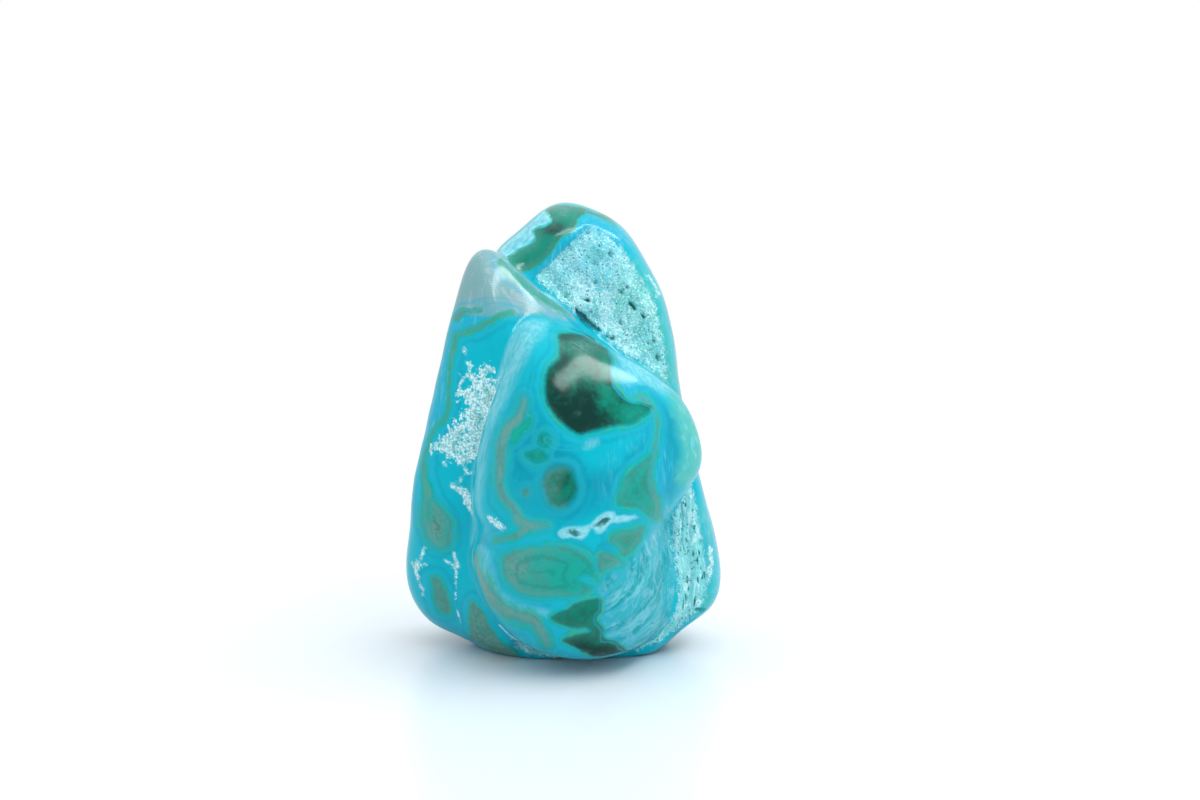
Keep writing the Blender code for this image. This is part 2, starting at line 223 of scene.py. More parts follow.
def lobe_field(name, points):
    """About the distance out of the lobe, in mm; less than 0 inside it.

    A point's distance in from the outline, over the edge radius, and its distance from the middle
    surface, over the half thickness, are joined as the two sides of a right triangle.
    """
    lobe = LOBES[name]
    inside, behind, up, turn = lobe_frame(name, points)
    front = behind < 0.0
    thin = up / TAPER_LENGTH
    thickness = np.where(front, lobe["thickness"][0] * (1.0 - lobe["taper"][0] * thin),
                         lobe["thickness"][1] * (1.0 - lobe["taper"][1] * thin))
    extra, towards = lobe["lopsided"]
    lean = turn.real * np.cos(towards) + turn.imag * np.sin(towards)
    edge = np.where(front, lobe["edge"][0] + extra * lean, lobe["edge"][1])
    to_edge = soft_positive(1.0 - inside / edge, EDGE_SOFTNESS)
    to_edge += 1.0 - soft_positive(1.0, EDGE_SOFTNESS)
    power = lobe["power"]
    both = np.abs(to_edge) ** power + np.abs(behind / thickness) ** power
    return (both ** (1.0 / power) - 1.0) * edge


def smooth_union(one, other, radius):
    """The smaller of two fields, with the valley between them filled to about this radius."""
    share = np.clip(0.5 + 0.5 * (other - one) / radius, 0.0, 1.0)
    return other * (1.0 - share) + one * share - radius * share * (1.0 - share)


def blobs(points, centre, radii):
    """A bell-shaped hill: 1 at the centre, and falling off over the three radii."""
    return np.exp(-(((points - np.array(centre)) / np.array(radii)) ** 2).sum(-1))


def lobe_fields(points):
    """The fields of the rear slab, the left body and the front lobe."""
    return [lobe_field(name, points) for name in LOBES]


def stone_field(points):
    """About the distance out of the stone, in mm; less than 0 inside it."""
    rear, left, front = lobe_fields(points)
    foot = np.linalg.norm((points - FOOT_CENTRE) / FOOT_RADII, axis=-1) - 1.0
    low_seam = np.exp(-(points[..., 2] / LOW_SEAM_HEIGHT) ** 2)
    field = smooth_union(rear, left, SEAM_RADIUS + REAR_LOW_SEAM_RADIUS * low_seam)
    field = smooth_union(field, foot * FOOT_RADII[1], FOOT_SEAM_RADIUS)
    field = smooth_union(field, front, SEAM_RADIUS + LOW_SEAM_RADIUS * low_seam)
    for centre, radii, depth in HOLLOWS:
        field = field + depth * blobs(points, centre, radii)
    x, y, z = points[..., 0], points[..., 1], points[..., 2]
    unevenness = np.sin(x / 6.3 + 1.0) * np.sin(y / 7.1 + 2.0)
    unevenness = unevenness + 0.8 * np.sin(z / 7.7 + x / 11.0) * np.cos(y / 6.1 - z / 15.0)
    return -smooth_union(-field - WAVE_DEPTH * unevenness, z, BASE_EDGE_RADIUS)


def outward(points):
    """The skin's outward direction at each point, from the field's slope on either side of it."""
    slopes = []
    for axis in np.eye(3) * SLOPE_STEP:
        slopes.append(stone_field(points + axis) - stone_field(points - axis))
    slopes = np.stack(slopes, -1)
    return slopes / np.linalg.norm(slopes, axis=-1, keepdims=True)


def rough_share(points):
    """1 on the rough face, 0 on polish: in from the slab's rim, past the line, off the others."""
    rear, left, front = lobe_fields(points)
    inside, behind, _, _ = lobe_frame("rear_slab", points)
    past = ((points[..., 0] - ROUGH_EDGE_POINT[0]) * ROUGH_EDGE_NORMAL[0]
            + (points[..., 2] - ROUGH_EDGE_POINT[1]) * ROUGH_EDGE_NORMAL[1])
    share = smooth_step(ROUGH_RIM, ROUGH_RIM + 1.5, inside) * smooth_step(0.0, 1.5, past)
    share = share * smooth_step(ROUGH_LEFT_END, ROUGH_LEFT_END + 3.0, points[..., 0])
    apart = np.minimum(left, front) - rear
    return share * smooth_step(2.0, 4.0, -behind) * smooth_step(0.5, 3.5, apart)


def rough_relief(points):
    """Depth of the rough face under the polish: a step down, lumps, furrows and a crevice."""
    x, z = points[..., 0], points[..., 2]
    lumps = np.sin(x / 1.4 + 1.5 * np.sin(z / 4.1)) * np.sin(z / 1.7 + 1.5 * np.sin(x / 3.3))
    furrows = np.cos(2.0 * np.pi * (x + 0.06 * z) / FURROW_PITCH + np.sin(z / 5.0))
    low = smooth_step(42.0, 34.0, z)
    depth = ROUGH_SINK + LUMP_DEPTH * (0.5 + 0.5 * lumps) * (1.0 - 0.6 * low)
    depth += FURROW_DEPTH * (0.5 + 0.5 * furrows) * low
    centre, radii, crevice_depth = CREVICE
    return depth + crevice_depth * blobs(points, centre, radii)


def hashed(cells, seed):
    """A fixed number from 0 to 1 for each whole-number cell, from mixing its three numbers."""
    whole = cells.astype(np.int64).astype(np.uint64)
    mixed = whole[..., 0] * np.uint64(73856093) ^ whole[..., 1] * np.uint64(19349663)
    mixed = mixed ^ whole[..., 2] * np.uint64(83492791) ^ np.uint64(seed * 2654435761)
    mixed = (mixed ^ (mixed >> np.uint64(15))) * np.uint64(2246822519)
    mixed = (mixed ^ (mixed >> np.uint64(13))) * np.uint64(3266489917)
    return ((mixed ^ (mixed >> np.uint64(16))) & np.uint64(0xFFFFFF)).astype(float) / 0xFFFFFF


def cloud(points, size, seed, octaves=3):
    """Soft noise from -1 to 1: hashed corners of a grid, blended, and finer grids at half weight."""
    total = np.zeros(points.shape[:-1])
    for octave in range(octaves):
        scaled = points / size * 2.0 ** octave + 100.0
        corner = np.floor(scaled)
        part = scaled - corner
        part = part * part * (3.0 - 2.0 * part)
        value = 0.0
        for step in np.ndindex(2, 2, 2):
            near = np.prod(np.where(np.array(step) == 1, part, 1.0 - part), axis=-1)
            value = value + near * hashed(corner + np.array(step), seed + octave)
        total = total + (2.0 * value - 1.0) * 0.5 ** octave
    return total


def pits(points, size, seed, smallest, largest, share):
    """1 at the bottom of a pit and 0 off it: a pit of its own radius in this share of cells."""
    scaled = points / size + 100.0
    corner = np.floor(scaled)
    deepest = np.zeros(points.shape[:-1])
    for step in np.ndindex(3, 3, 3):
        cell = corner + np.array(step) - 1.0
        spot = cell + np.stack([hashed(cell, seed + axis) for axis in range(3)], -1)
        radius = smallest + (largest - smallest) * hashed(cell, seed + 3)
        away = np.linalg.norm(scaled - spot, axis=-1) / radius
        held = hashed(cell, seed + 4) < share
        deepest = np.maximum(deepest, held * smooth_step(1.0, 0.25, away))
    return deepest


def cube_net(cells):
    """A closed net on a cube: each point's whole-number place, and the points of each face."""
    steps = np.arange(cells + 1)
    one, two = np.meshgrid(steps, steps, indexing="ij")
    low, high = np.zeros_like(one), np.full_like(one, cells)
    sides = [(high, one, two), (low, cells - one, two), (cells - one, high, two),
             (one, low, two), (cells - two, one, high), (two, one, low)]
    places = np.stack([np.stack(side, -1) for side in sides]).reshape(-1, 3)
    keys = (places[:, 0] * (cells + 1) + places[:, 1]) * (cells + 1) + places[:, 2]
    _, first, welded = np.unique(keys, return_index=True, return_inverse=True)
    return places[first], welded.reshape(6, cells + 1, cells + 1)


def quads_of(grid):
    """The four corners of each cell of the six grids, as one row a cell."""
    cells = np.stack([grid[:, :-1, :-1], grid[:, 1:, :-1], grid[:, 1:, 1:], grid[:, :-1, 1:]], 3)
    return cells.reshape(-1, 4, *grid.shape[3:])


def settled(points):
    """Each point moved along its ray from the heart to where the ray leaves the stone."""
    ways = points - HEART
    ways /= np.linalg.norm(ways, axis=1, keepdims=True)
    low = np.full(len(ways), LEAST_REACH)
    high = np.full(len(ways), MOST_REACH)
    for _ in range(HALVINGS):
        middle = 0.5 * (low + high)
        within = stone_field(HEART + ways * middle[:, None]) < 0.0
        low = np.where(within, middle, low)
        high = np.where(within, high, middle)
    return HEART + ways * (0.5 * (low + high))[:, None]


def evened(points, quads, rounds):
    """Each point moved, round by round, to the weighted mean of its neighbours in the net."""
    start = np.concatenate([quads[:, side] for side in range(4)] * 2)
    end = np.concatenate([quads[:, (side + turn) % 4] for turn in (1, 3) for side in range(4)])
    for _ in range(rounds):
        weight = 1.0 + ROUGH_PULL * rough_share(points)
        total = np.bincount(start, weight[end], len(points))
        points = np.stack([np.bincount(start, weight[end] * points[end, axis], len(points)) / total
                           for axis in range(3)], -1)
    return points


def finer(points, coarse, fine, count):
    """The points of a net with twice the cells: the new ones half way between their neighbours."""
    grid = points[coarse]
    across = np.repeat(grid, 2, axis=1)[:, :-1].copy()
    across[:, 1::2] = 0.5 * (grid[:, :-1] + grid[:, 1:])
    both = np.repeat(across, 2, axis=2)[:, :, :-1].copy()
    both[:, :, 1::2] = 0.5 * (across[:, :, :-1] + across[:, :, 1:])
    result = np.empty((count, 3))
    result[fine] = both
    return result


def fine_skin():
    """The polished skin on the finest net, before the rough face is sunk: points and net."""
    cells = NET_LEVELS[0][0]
    places, net = cube_net(cells)
    points = settled(HEART + np.tan((places / cells * 2.0 - 1.0) * np.pi / 4.0))
    for level, (cells, passes) in enumerate(NET_LEVELS):
        if level:
            places, fine = cube_net(cells)
            points, net = finer(points, net, fine, len(places)), fine
        for _ in range(passes):
            points = settled(evened(points, quads_of(net), EVENING_ROUNDS))
    return settled(points), net


def fine_relief(points):
    """Depth of the rough face's own grain, in mm: hollows between crumbs, and pores."""
    crumbs = 0.5 + 0.5 * cloud(points, 1.6, 11)
    pores = pits(points, 2.1, 21, 0.2, 0.5, 0.22)
    small_pores = pits(points, 0.95, 31, 0.25, 0.55, 0.55)
    return CRUMB_DEPTH * crumbs + PORE_DEPTH * pores + SMALL_PORE_DEPTH * small_pores


def chart_of_faces(cells):
    """A place on the 3 by 2 atlas for each point of the six grids, with a margin round each."""
    along = ATLAS_MARGIN + (1.0 - 2.0 * ATLAS_MARGIN) * np.arange(cells + 1) / cells
    one, two = np.meshgrid(along, along, indexing="ij")
    faces = [np.stack([(face % 3 + one) / 3.0, (face // 3 + two) / 2.0], -1) for face in range(6)]
    return np.stack(faces)


def cut_along_shorter(points, quads):
    """Which corners of each square its two triangles take, cut along the shorter diagonal."""
    a, b, c, d = (points[quads[:, corner]] for corner in range(4))
    by_ac = np.linalg.norm(a - c, axis=1) <= np.linalg.norm(b - d, axis=1)
    return np.where(by_ac[:, None, None], np.array([[0, 1, 2], [0, 2, 3]]),
                    np.array([[0, 1, 3], [1, 2, 3]]))


def stone_mesh(points, net, values):
    """The stone as a mesh of triangles with its atlas and the values that its colour reads."""
    quads = quads_of(net)
    corners = cut_along_shorter(points, quads)
    triangles = np.take_along_axis(quads[:, None, :], corners, axis=2).reshape(-1, 3)
    charts = quads_of(chart_of_faces(net.shape[1] - 1))
    places = np.take_along_axis(charts[:, None], corners[..., None], axis=2).reshape(-1, 2)
    mesh = bpy.data.meshes.new("polished_stone_skin")
    mesh.vertices.add(len(points))
    mesh.vertices.foreach_set("co", ((points + CENTRING) * MM).ravel())
    mesh.loops.add(triangles.size)
    mesh.loops.foreach_set("vertex_index", triangles.ravel())
    mesh.polygons.add(len(triangles))
    mesh.polygons.foreach_set("loop_start", np.arange(0, triangles.size, 3))
    mesh.update(calc_edges=True)
    mesh.shade_smooth()
    mesh.uv_layers.new(name="OFBake").data.foreach_set("uv", places.ravel())
    for name, value in values.items():
        mesh.attributes.new(name, "FLOAT", "POINT").data.foreach_set("value", value)
    mesh.validate()
    return mesh


# --- the stone's pattern -----------------------------------------------------------------------
# Marks on the front are drawn on a sheet 1200 wide and 800 high that fills the camera's view, with
# y running down. Each mark belongs to one lobe. The sides and back have bodies and ribbons in space.
SHEET = (1200, 800)
SHEET_LENS = CAMERA_LENS / SENSOR_WIDTH * SHEET[0]     # the focal length, in steps of the sheet
SHEET_STEP = 0.2                       # millimetres of stone to a step of the sheet
FAR = 9.0                              # distance given to whatever is further off than this
SEAM_PENALTY = 1.2                     # how fast a mark stops past its own lobe's seam
TURN_PENALTY = 9.0                     # how far a mark is pushed back where the skin turns away
TURN_WANDER = 0.3                      # how unevenly the drawn front gives way to the sides
SHEET_WOBBLE = 0.35                    # mm that drawn edges wander
CREST_FOOT = (69.0, 70.2)              # heights between which the grey crest begins, at its side
SPACE_WOBBLE = 2.6                     # mm that bodies in space are bent by

# malachite on the front: lobe, outline, how dark and how brown its middle is, softness in mm
GREEN_BODIES = [
    ("front_lobe", [(559, 335), (568, 332), (584, 333), (600, 341), (610, 352), (612, 362),
                    (613, 376), (618, 390), (628, 400), (640, 403), (652, 407), (645, 415),
                    (634, 424), (612, 427), (596, 431), (580, 433), (568, 428), (558, 419),
                    (549, 408), (546, 396), (545, 382), (550, 369), (558, 359), (561, 347)],
     0.85, 0.1, 0.68),
    ("front_lobe", [(652, 446), (651, 455), (641, 462), (631, 469), (624, 479), (620, 490),
                    (617, 503), (626, 506), (640, 510), (650, 515), (657, 520), (657, 508),
                    (651, 492), (650, 470)], 0.2, 0.28, 0.6),
    ("front_lobe", [(612, 538), (620, 533), (634, 529), (646, 526), (641, 540), (633, 551),
                    (624, 555), (617, 546)], 0.25, 0.4, 0.6),
    ("front_lobe", [(599, 556), (606, 554), (618, 559), (623, 562), (612, 567), (602, 572),
                    (598, 565)], 0.25, 0.5, 0.6),
    ("front_lobe", [(542, 480), (543, 492), (548, 504), (556, 508), (566, 505), (576, 494),
                    (577, 482), (572, 471), (560, 468), (548, 471)], 0.6, 0.3, 1.1),
    ("front_lobe", [(502, 562), (508, 554), (522, 550), (544, 547), (568, 547), (582, 551),
                    (589, 558), (594, 568), (597, 580), (594, 590), (580, 595), (560, 596),
                    (540, 597), (524, 594), (512, 587), (504, 576)], 0.12, 0.4, 0.75),
    ("front_lobe", [(554, 616), (568, 610), (574, 604), (590, 600), (600, 599), (601, 611),
                    (598, 620), (603, 628), (604, 636), (620, 644), (630, 655), (600, 659),
                    (572, 647), (562, 640), (572, 634), (584, 630), (566, 627), (553, 621)],
     0.6, 0.2, 0.45),
    ("front_lobe", [(540, 437), (545, 434), (550, 438), (548, 446), (541, 445)], 0.3, 0.0, 0.9),
    ("front_lobe", [(526, 456), (533, 453), (542, 453), (545, 459), (537, 463), (530, 460)],
     0.3, 0.0, 0.9),
    ("front_lobe", [(511, 441), (512, 433), (518, 427), (526, 422), (530, 419), (527, 426),
                    (520, 432), (516, 440)], -0.15, 0.0, 0.7),
    ("front_lobe", [(523, 490), (527, 488), (530, 492), (527, 496), (523, 495)], 0.3, 0.4, 1.05),
    ("left_body", [(425, 498), (435, 503), (446, 514), (453, 528), (452, 541), (443, 549),
                   (433, 544), (427, 533), (422, 518)], 0.0, 0.4, 0.8),
    ("left_body", [(432, 578), (439, 580), (446, 593), (449, 608), (446, 613), (438, 608),
                   (434, 595)], 0.3, 0.6, 0.5),
    ("rear_slab", [(472, 602), (479, 609), (487, 624), (499, 642), (512, 652), (522, 661),
                   (498, 664), (474, 652), (452, 640), (460, 636), (470, 637), (469, 620)],
     0.5, 0.75, 0.35),
    ("rear_slab", [(546, 207), (558, 204), (576, 206), (594, 211), (612, 219), (619, 228),
                   (602, 219), (588, 214), (579, 219), (576, 227), (568, 233), (560, 240),
                   (554, 249), (548, 257), (540, 263), (528, 270), (520, 273), (510, 267),
                   (504, 260), (514, 254), (522, 250), (534, 245), (537, 238), (535, 232),
                   (544, 227), (551, 223), (551, 218), (546, 214)], 0.4, 0.3, 0.22),
]
# malachite stripes: lobe, points with half widths, dark, brown, softness
GREEN_STRIPES = [
    ("front_lobe", [(524, 400, 2.0), (519, 418, 4.0), (508, 428, 4.5), (503, 442, 4.0),
                    (500, 462, 4.5), (499, 482, 4.0), (504, 498, 3.5), (514, 511, 3.5),
                    (521, 522, 4.5), (532, 527, 4.0), (546, 526, 1.2)], 0.05, 0.85, 0.9),
    ("front_lobe", [(526, 530, 3.0), (514, 537, 1.6), (496, 540, 0.8)], 0.3, 0.95, 0.49),
    ("front_lobe", [(646, 407, 0.6), (656, 416, 0.8), (658, 430, 0.8), (655, 444, 1.2),
                    (652, 470, 1.0), (653, 488, 1.6), (656, 502, 3.0), (655, 516, 3.0)],
     0.3, 0.6, 0.49),
    ("front_lobe", [(474, 556, 2.5), (480, 574, 3.5), (488, 592, 4.5), (498, 606, 5.0),
                    (516, 616, 5.5), (532, 621, 5.0), (542, 634, 4.0), (548, 646, 2.5)],
     0.0, 0.95, 0.7),
    ("front_lobe", [(636, 395, 0.4), (643, 398, 1.4), (651, 403, 0.6)], 0.7, 0.9, 0.42),
    ("left_body", [(512, 314, 0.6), (504, 314, 1.2), (490, 322, 1.8), (476, 329, 2.0),
                   (466, 333, 1.8), (457, 336, 1.4), (454, 347, 1.2), (451, 365, 0.9),
                   (449, 385, 0.7), (448, 410, 0.9), (444, 421, 0.8), (437, 427, 0.7),
                   (429, 439, 0.6), (424, 456, 0.8), (424, 476, 1.8), (428, 496, 4.0)],
     -0.1, 0.45, 0.35),
    ("left_body", [(456, 318, 2.4), (462, 314, 2.0), (470, 311, 1.2), (480, 309, 0.5)],
     0.3, 0.95, 0.3),
    ("left_body", [(500, 262, 0.6), (508, 272, 1.2), (522, 283, 1.2), (540, 297, 1.2),
                   (560, 309, 1.0), (590, 324, 0.6)], 0.3, 0.6, 0.4),
]
# inlets of blue chrysocolla in the malachite: lobe, outline
BLUE_INLETS = [
    ("front_lobe", [(577, 577), (586, 575), (597, 578), (602, 589), (592, 587), (582, 582)]),
    ("front_lobe", [(560, 634), (574, 631), (586, 628), (590, 632), (576, 636), (564, 638)]),
]
# fine yellow-green lines: lobe, points
FINE_LINES = [
    ("left_body", [(455, 312), (464, 308), (482, 303), (500, 301), (517, 305), (535, 314),
                   (560, 324)]),
    ("left_body", [(450, 330), (446, 346), (440, 372), (434, 396), (427, 424), (420, 452)]),
    ("front_lobe", [(600, 588), (602, 600), (602, 612), (598, 620), (604, 630), (604, 638),
                    (615, 641), (630, 654)]),
    ("front_lobe", [(535, 334), (538, 345), (533, 360), (530, 380), (526, 396)]),
    ("front_lobe", [(612, 352), (615, 364), (617, 380), (624, 394), (640, 400), (653, 407),
                    (658, 420), (656, 436), (651, 450)]),
    ("front_lobe", [(492, 548), (497, 566), (504, 584), (518, 598), (540, 604)]),
    ("front_lobe", [(548, 440), (560, 447), (575, 448)]),
    ("rear_slab", [(708, 525), (709, 540), (709, 555)]),
    ("rear_slab", [(589, 213), (606, 218), (620, 226), (634, 240)]),
]
# lacy white quartz: lobe, outline
WHITE_BODIES = [
    ("left_body", [(466, 362), (471, 369), (477, 376), (483, 375), (486, 370), (489, 365),
                   (492, 370), (489, 377), (493, 384), (500, 376), (510, 372), (504, 400),
                   (496, 430), (482, 458), (474, 457), (468, 462), (461, 462), (450, 460),
                   (441, 452), (431, 451), (436, 444), (441, 437), (448, 433), (454, 425),
                   (461, 421), (464, 411), (461, 400), (460, 392), (468, 385), (470, 378)]),
]
# white feathers: lobe, points with half widths
WHITE_FEATHERS = [
    ("left_body", [(463, 349, 1.0), (465, 354, 0.8)]),
    ("left_body", [(459, 372, 0.8), (463, 378, 1.2), (460, 384, 0.6)]),
    ("left_body", [(444, 463, 1.2), (447, 466, 0.8)]),
    ("left_body", [(462, 462, 1.0), (465, 473, 1.4), (473, 472, 0.8)]),
    ("left_body", [(465, 473, 0.9), (460, 480, 0.8), (455, 484, 0.9)]),
    ("left_body", [(452, 485, 1.4), (460, 490, 3.2), (468, 499, 3.8), (474, 513, 2.0)]),
    ("left_body", [(469, 540, 0.5), (468, 548, 1.3), (463, 558, 2.6), (460, 567, 3.6),
                   (458, 580, 1.8), (456, 598, 0.6)]),
    ("left_body", [(445, 561, 0.5), (451, 565, 1.5), (459, 567, 3.4), (466, 567, 2.0),
                   (474, 570, 0.6)]),
    ("left_body", [(452, 552, 0.4), (456, 560, 1.4), (461, 564, 1.8)]),
    ("left_body", [(425, 547, 0.6), (422, 556, 1.3), (417, 569, 1.6), (420, 582, 0.9),
                   (423, 597, 0.6)]),
    ("left_body", [(413, 562, 0.6), (417, 568, 1.2), (426, 566, 0.5)]),
    ("left_body", [(457, 610, 0.7), (461, 622, 0.7)]),
    ("rear_slab", [(500, 626, 0.8), (508, 630, 3.0), (516, 637, 3.2), (524, 641, 1.0)]),
    ("front_lobe", [(488, 517, 1.6), (495, 521, 3.2), (503, 527, 2.4)]),
    ("rear_slab", [(710, 547, 1.4), (712, 562, 1.2), (709, 576, 1.8), (706, 590, 1.4)]),
    ("rear_slab", [(648, 276, 1.2), (654, 284, 1.4), (658, 296, 1.0)]),
]
# the white-lined vug low on the front lobe, and the green hollows in it
VUG = ("front_lobe", [(558, 533), (562, 529), (574, 527), (588, 525), (596, 518), (608, 511),
                      (614, 511), (616, 516), (626, 516), (638, 518), (628, 522), (612, 525),
                      (604, 531), (596, 532), (590, 528), (584, 538), (574, 537), (562, 537)])
VUG_HOLES = [("front_lobe", [(595, 527), (601, 521), (609, 517), (611, 520), (603, 526)]),
             ("front_lobe", [(569, 530), (576, 530), (581, 534), (574, 535)])]
# soft patches: value, lobe, outline, width of the blend in mm, strength
SOFT_PATCHES = [
    ("deep", "front_lobe", [(520, 400), (548, 424), (568, 450), (594, 470), (622, 464),
                            (640, 436), (650, 420), (652, 440), (622, 470), (612, 505),
                            (560, 524), (520, 510), (508, 480), (508, 440)], 3.0, 0.9),
    ("deep", "front_lobe", [(656, 400), (672, 410), (682, 440), (680, 480), (664, 500),
                            (656, 470), (660, 430)], 2.0, 0.8),
    ("deep", "front_lobe", [(600, 540), (612, 540), (612, 556), (596, 580), (592, 560)], 1.0, 0.7),
    ("pale_and_rim_sheen", "rear_slab", [(486, 252), (500, 238), (546, 206), (552, 220), (538, 228),
                           (534, 242), (520, 250), (508, 260)], 0.4, 1.0),
    # painted rim highlight, partly: pale down the front lobe's left rim and across its top, in place
    # of the white room mirrored there, over the stone's own pale streaks
    ("pale_and_rim_sheen", "front_lobe", [(470, 540), (474, 470), (484, 415), (500, 360), (518, 322),
                            (548, 324), (528, 350), (508, 392), (490, 430), (481, 470),
                            (477, 520)], 1.6, 0.6),
    # painted highlight: pale along the front lobe's upper right rim
    ("pale_and_rim_sheen", "front_lobe", [(612, 345), (640, 362), (668, 385), (660, 392), (636, 378),
                            (616, 362)], 1.2, 0.6),
    # partly painted rim highlight along the front lobe's lower left seam, partly pale banding beside
    # the stripe
    ("pale_and_rim_sheen", "front_lobe", [(478, 548), (488, 552), (492, 572), (502, 592), (528, 606),
                            (550, 612), (540, 618), (512, 608), (490, 590), (480, 570)], 0.9, 0.5),
    # painted highlight: a small soft pale spot below the eye
    ("pale_and_rim_sheen", "front_lobe", [(586, 442), (600, 440), (596, 446), (582, 449)], 0.7, 0.4),
    ("haze", "front_lobe", [(600, 588), (612, 566), (632, 556), (648, 538), (664, 506),
                            (680, 520), (682, 580), (668, 632), (640, 654), (624, 652),
                            (606, 638), (598, 620), (602, 606)], 0.35, 1.0),
    ("teal", "front_lobe", [(668, 392), (690, 403), (704, 440), (702, 465), (688, 486),
                            (677, 478), (682, 450), (675, 420)], 1.4, 1.0),
    ("teal", "rear_slab", [(626, 262), (650, 272), (668, 320), (680, 390), (662, 384),
                           (640, 356), (620, 322), (612, 296)], 2.0, 0.8),
    ("teal", "rear_slab", [(688, 505), (712, 518), (716, 590), (706, 620), (690, 602),
                           (684, 560)], 2.0, 0.7),
    ("teal", "rear_slab", [(590, 247), (600, 248), (603, 256), (595, 262), (586, 256)], 0.5, 0.6),
    ("blue", "rear_slab", [(580, 232), (604, 232), (626, 250), (632, 276), (612, 292),
                           (590, 284), (572, 282), (552, 284), (546, 270), (564, 254)], 2.5, 0.7),
    ("blue", "rear_slab", [(588, 216), (604, 222), (634, 240), (624, 246), (600, 232),
                           (584, 236), (566, 250), (548, 268), (530, 276), (548, 258),
                           (564, 240)], 0.7, 0.9),
    ("blue", "rear_slab", [(536, 232), (540, 240), (530, 250), (514, 258), (526, 250),
                           (534, 244)], 0.5, 0.6),
    ("blue", "left_body", [(455, 322), (470, 316), (500, 305), (520, 312), (488, 322),
                           (466, 330), (452, 342), (446, 410), (428, 436), (416, 470),
                           (408, 520), (414, 460), (436, 380)], 0.7, 1.0),
    ("blue", "front_lobe", [(614, 350), (630, 360), (634, 384), (648, 398), (632, 398),
                            (620, 384)], 0.7, 0.9),
    ("blue", "front_lobe", [(636, 412), (652, 418), (650, 440), (638, 452), (620, 462),
                            (612, 500), (600, 500), (600, 462), (620, 440)], 1.4, 0.25),
    ("blue", "front_lobe", [(655, 440), (668, 450), (672, 480), (660, 500), (652, 480)], 1.6, 0.7),
    ("blue", "rear_slab", [(700, 512), (714, 520), (718, 570), (704, 578)], 0.8, 0.9),
    ("blue", "rear_slab", [(634, 300), (646, 310), (660, 340), (668, 372), (656, 350),
                           (640, 322)], 1.6, 0.5),
    ("grey", "front_lobe", [(540, 300), (560, 306), (580, 315), (604, 328), (628, 346),
                            (622, 351), (600, 339), (575, 328), (550, 319), (536, 312)], 0.7, 0.9),
    ("grey", "left_body", [(484, 244), (496, 250), (520, 272), (560, 300), (596, 322),
                           (560, 320), (520, 304), (488, 302), (454, 312), (460, 284)], 0.5, 1.0),
]
# where the malachite's middle is lighter or darker than the rest of it: lobe, centre, radii, change
SHADE_SPOTS = [
    ("front_lobe", (578, 418), (15, 16), 0.3),
    ("front_lobe", (584, 350), (22, 12), -0.25),
    ("front_lobe", (606, 362), (7, 12), -0.3),
    ("front_lobe", (582, 376), (26, 12), -0.25),
    ("front_lobe", (606, 396), (10, 12), -0.45),
    ("front_lobe", (632, 414), (20, 12), -0.6),
    ("front_lobe", (576, 572), (20, 14), -0.1),
    ("front_lobe", (514, 566), (12, 18), 0.1),
    ("front_lobe", (588, 652), (34, 9), 0.45),
    ("left_body", (437, 528), (7, 14), 0.35),
    ("rear_slab", (552, 228), (14, 8), 0.5),
]
# where its middle is browner or greener: lobe, centre, radii, change
BROWN_SPOTS = [
    ("front_lobe", (552, 488), (9, 16), 0.15),
    ("front_lobe", (572, 488), (8, 16), -0.5),
    ("front_lobe", (574, 574), (20, 15), -0.6),
    ("front_lobe", (514, 566), (12, 18), 0.5),
    ("left_body", (437, 530), (7, 14), 0.6),
    ("front_lobe", (580, 347), (24, 11), 0.5),
    ("front_lobe", (576, 412), (5, 5), 0.25),
    ("front_lobe", (580, 402), (4, 4), 0.15),
    ("rear_slab", (562, 210), (14, 8), 0.3),
]
# cracks and chipped holes: lobe, points with half widths, depth in mm
CHIPS = [
    ("rear_slab", [(574, 309, 1.0), (581, 315, 2.6), (589, 322, 3.2), (600, 330, 1.2)], 1.4),
    ("rear_slab", [(580, 299, 1.0), (587, 300, 1.8), (592, 301, 1.0)], 0.5),
    ("rear_slab", [(630, 303, 2.0), (635, 306, 2.6)], 1.0),
    ("rear_slab", [(642, 313, 2.2), (645, 317, 2.4)], 1.0),
    ("rear_slab", [(608, 336, 1.6), (614, 338, 2.2)], 0.8),
    ("rear_slab", [(661, 357, 1.6), (664, 361, 1.2)], 0.7),
    ("rear_slab", [(569, 247, 1.4), (571, 250, 1.2)], 0.6),
    ("rear_slab", [(620, 322, 1.2), (622, 325, 1.0)], 0.6),
    ("rear_slab", [(701, 610, 2.0), (709, 612, 2.4)], 1.2),
    ("rear_slab", [(684, 504, 0.8), (685, 522, 1.2), (683, 544, 0.8)], 0.6),
    ("rear_slab", [(677, 560, 0.6), (679, 574, 1.0), (676, 590, 0.6)], 0.5),
    ("front_lobe", [(594, 527, 1.2), (601, 522, 2.2), (609, 518, 1.2)], 0.7),
    ("front_lobe", [(569, 532, 1.2), (579, 532, 1.4)], 0.5),
]
STREAK_CENTRE = (585, 560)             # the haze's brush strokes run round this place
# malachite bodies that reach the skin at the sides and back: centre, radii
SPACE_GREENS = [
    ((-24.0, 14.0, 60.0), (7.0, 9.0, 9.0)), ((-30.0, 16.0, 30.0), (6.0, 8.0, 7.0)),
    ((-12.0, 27.0, 66.0), (9.0, 6.0, 7.0)), ((2.0, 31.0, 44.0), (11.0, 7.0, 8.0)),
    ((-16.0, 26.0, 22.0), (8.0, 7.0, 9.0)), ((18.0, 28.0, 24.0), (9.0, 7.0, 6.0)),
    ((24.0, 16.0, 54.0), (6.0, 8.0, 8.0)), ((32.0, 8.0, 24.0), (5.0, 7.0, 8.0)),
    ((8.0, 24.0, 80.0), (7.0, 7.0, 5.0)), ((-2.0, 26.0, 8.0), (10.0, 6.0, 5.0)),
    ((27.0, 20.0, 8.0), (7.0, 6.0, 4.0)), ((-28.0, 6.0, 8.0), (6.0, 8.0, 4.0)),
]
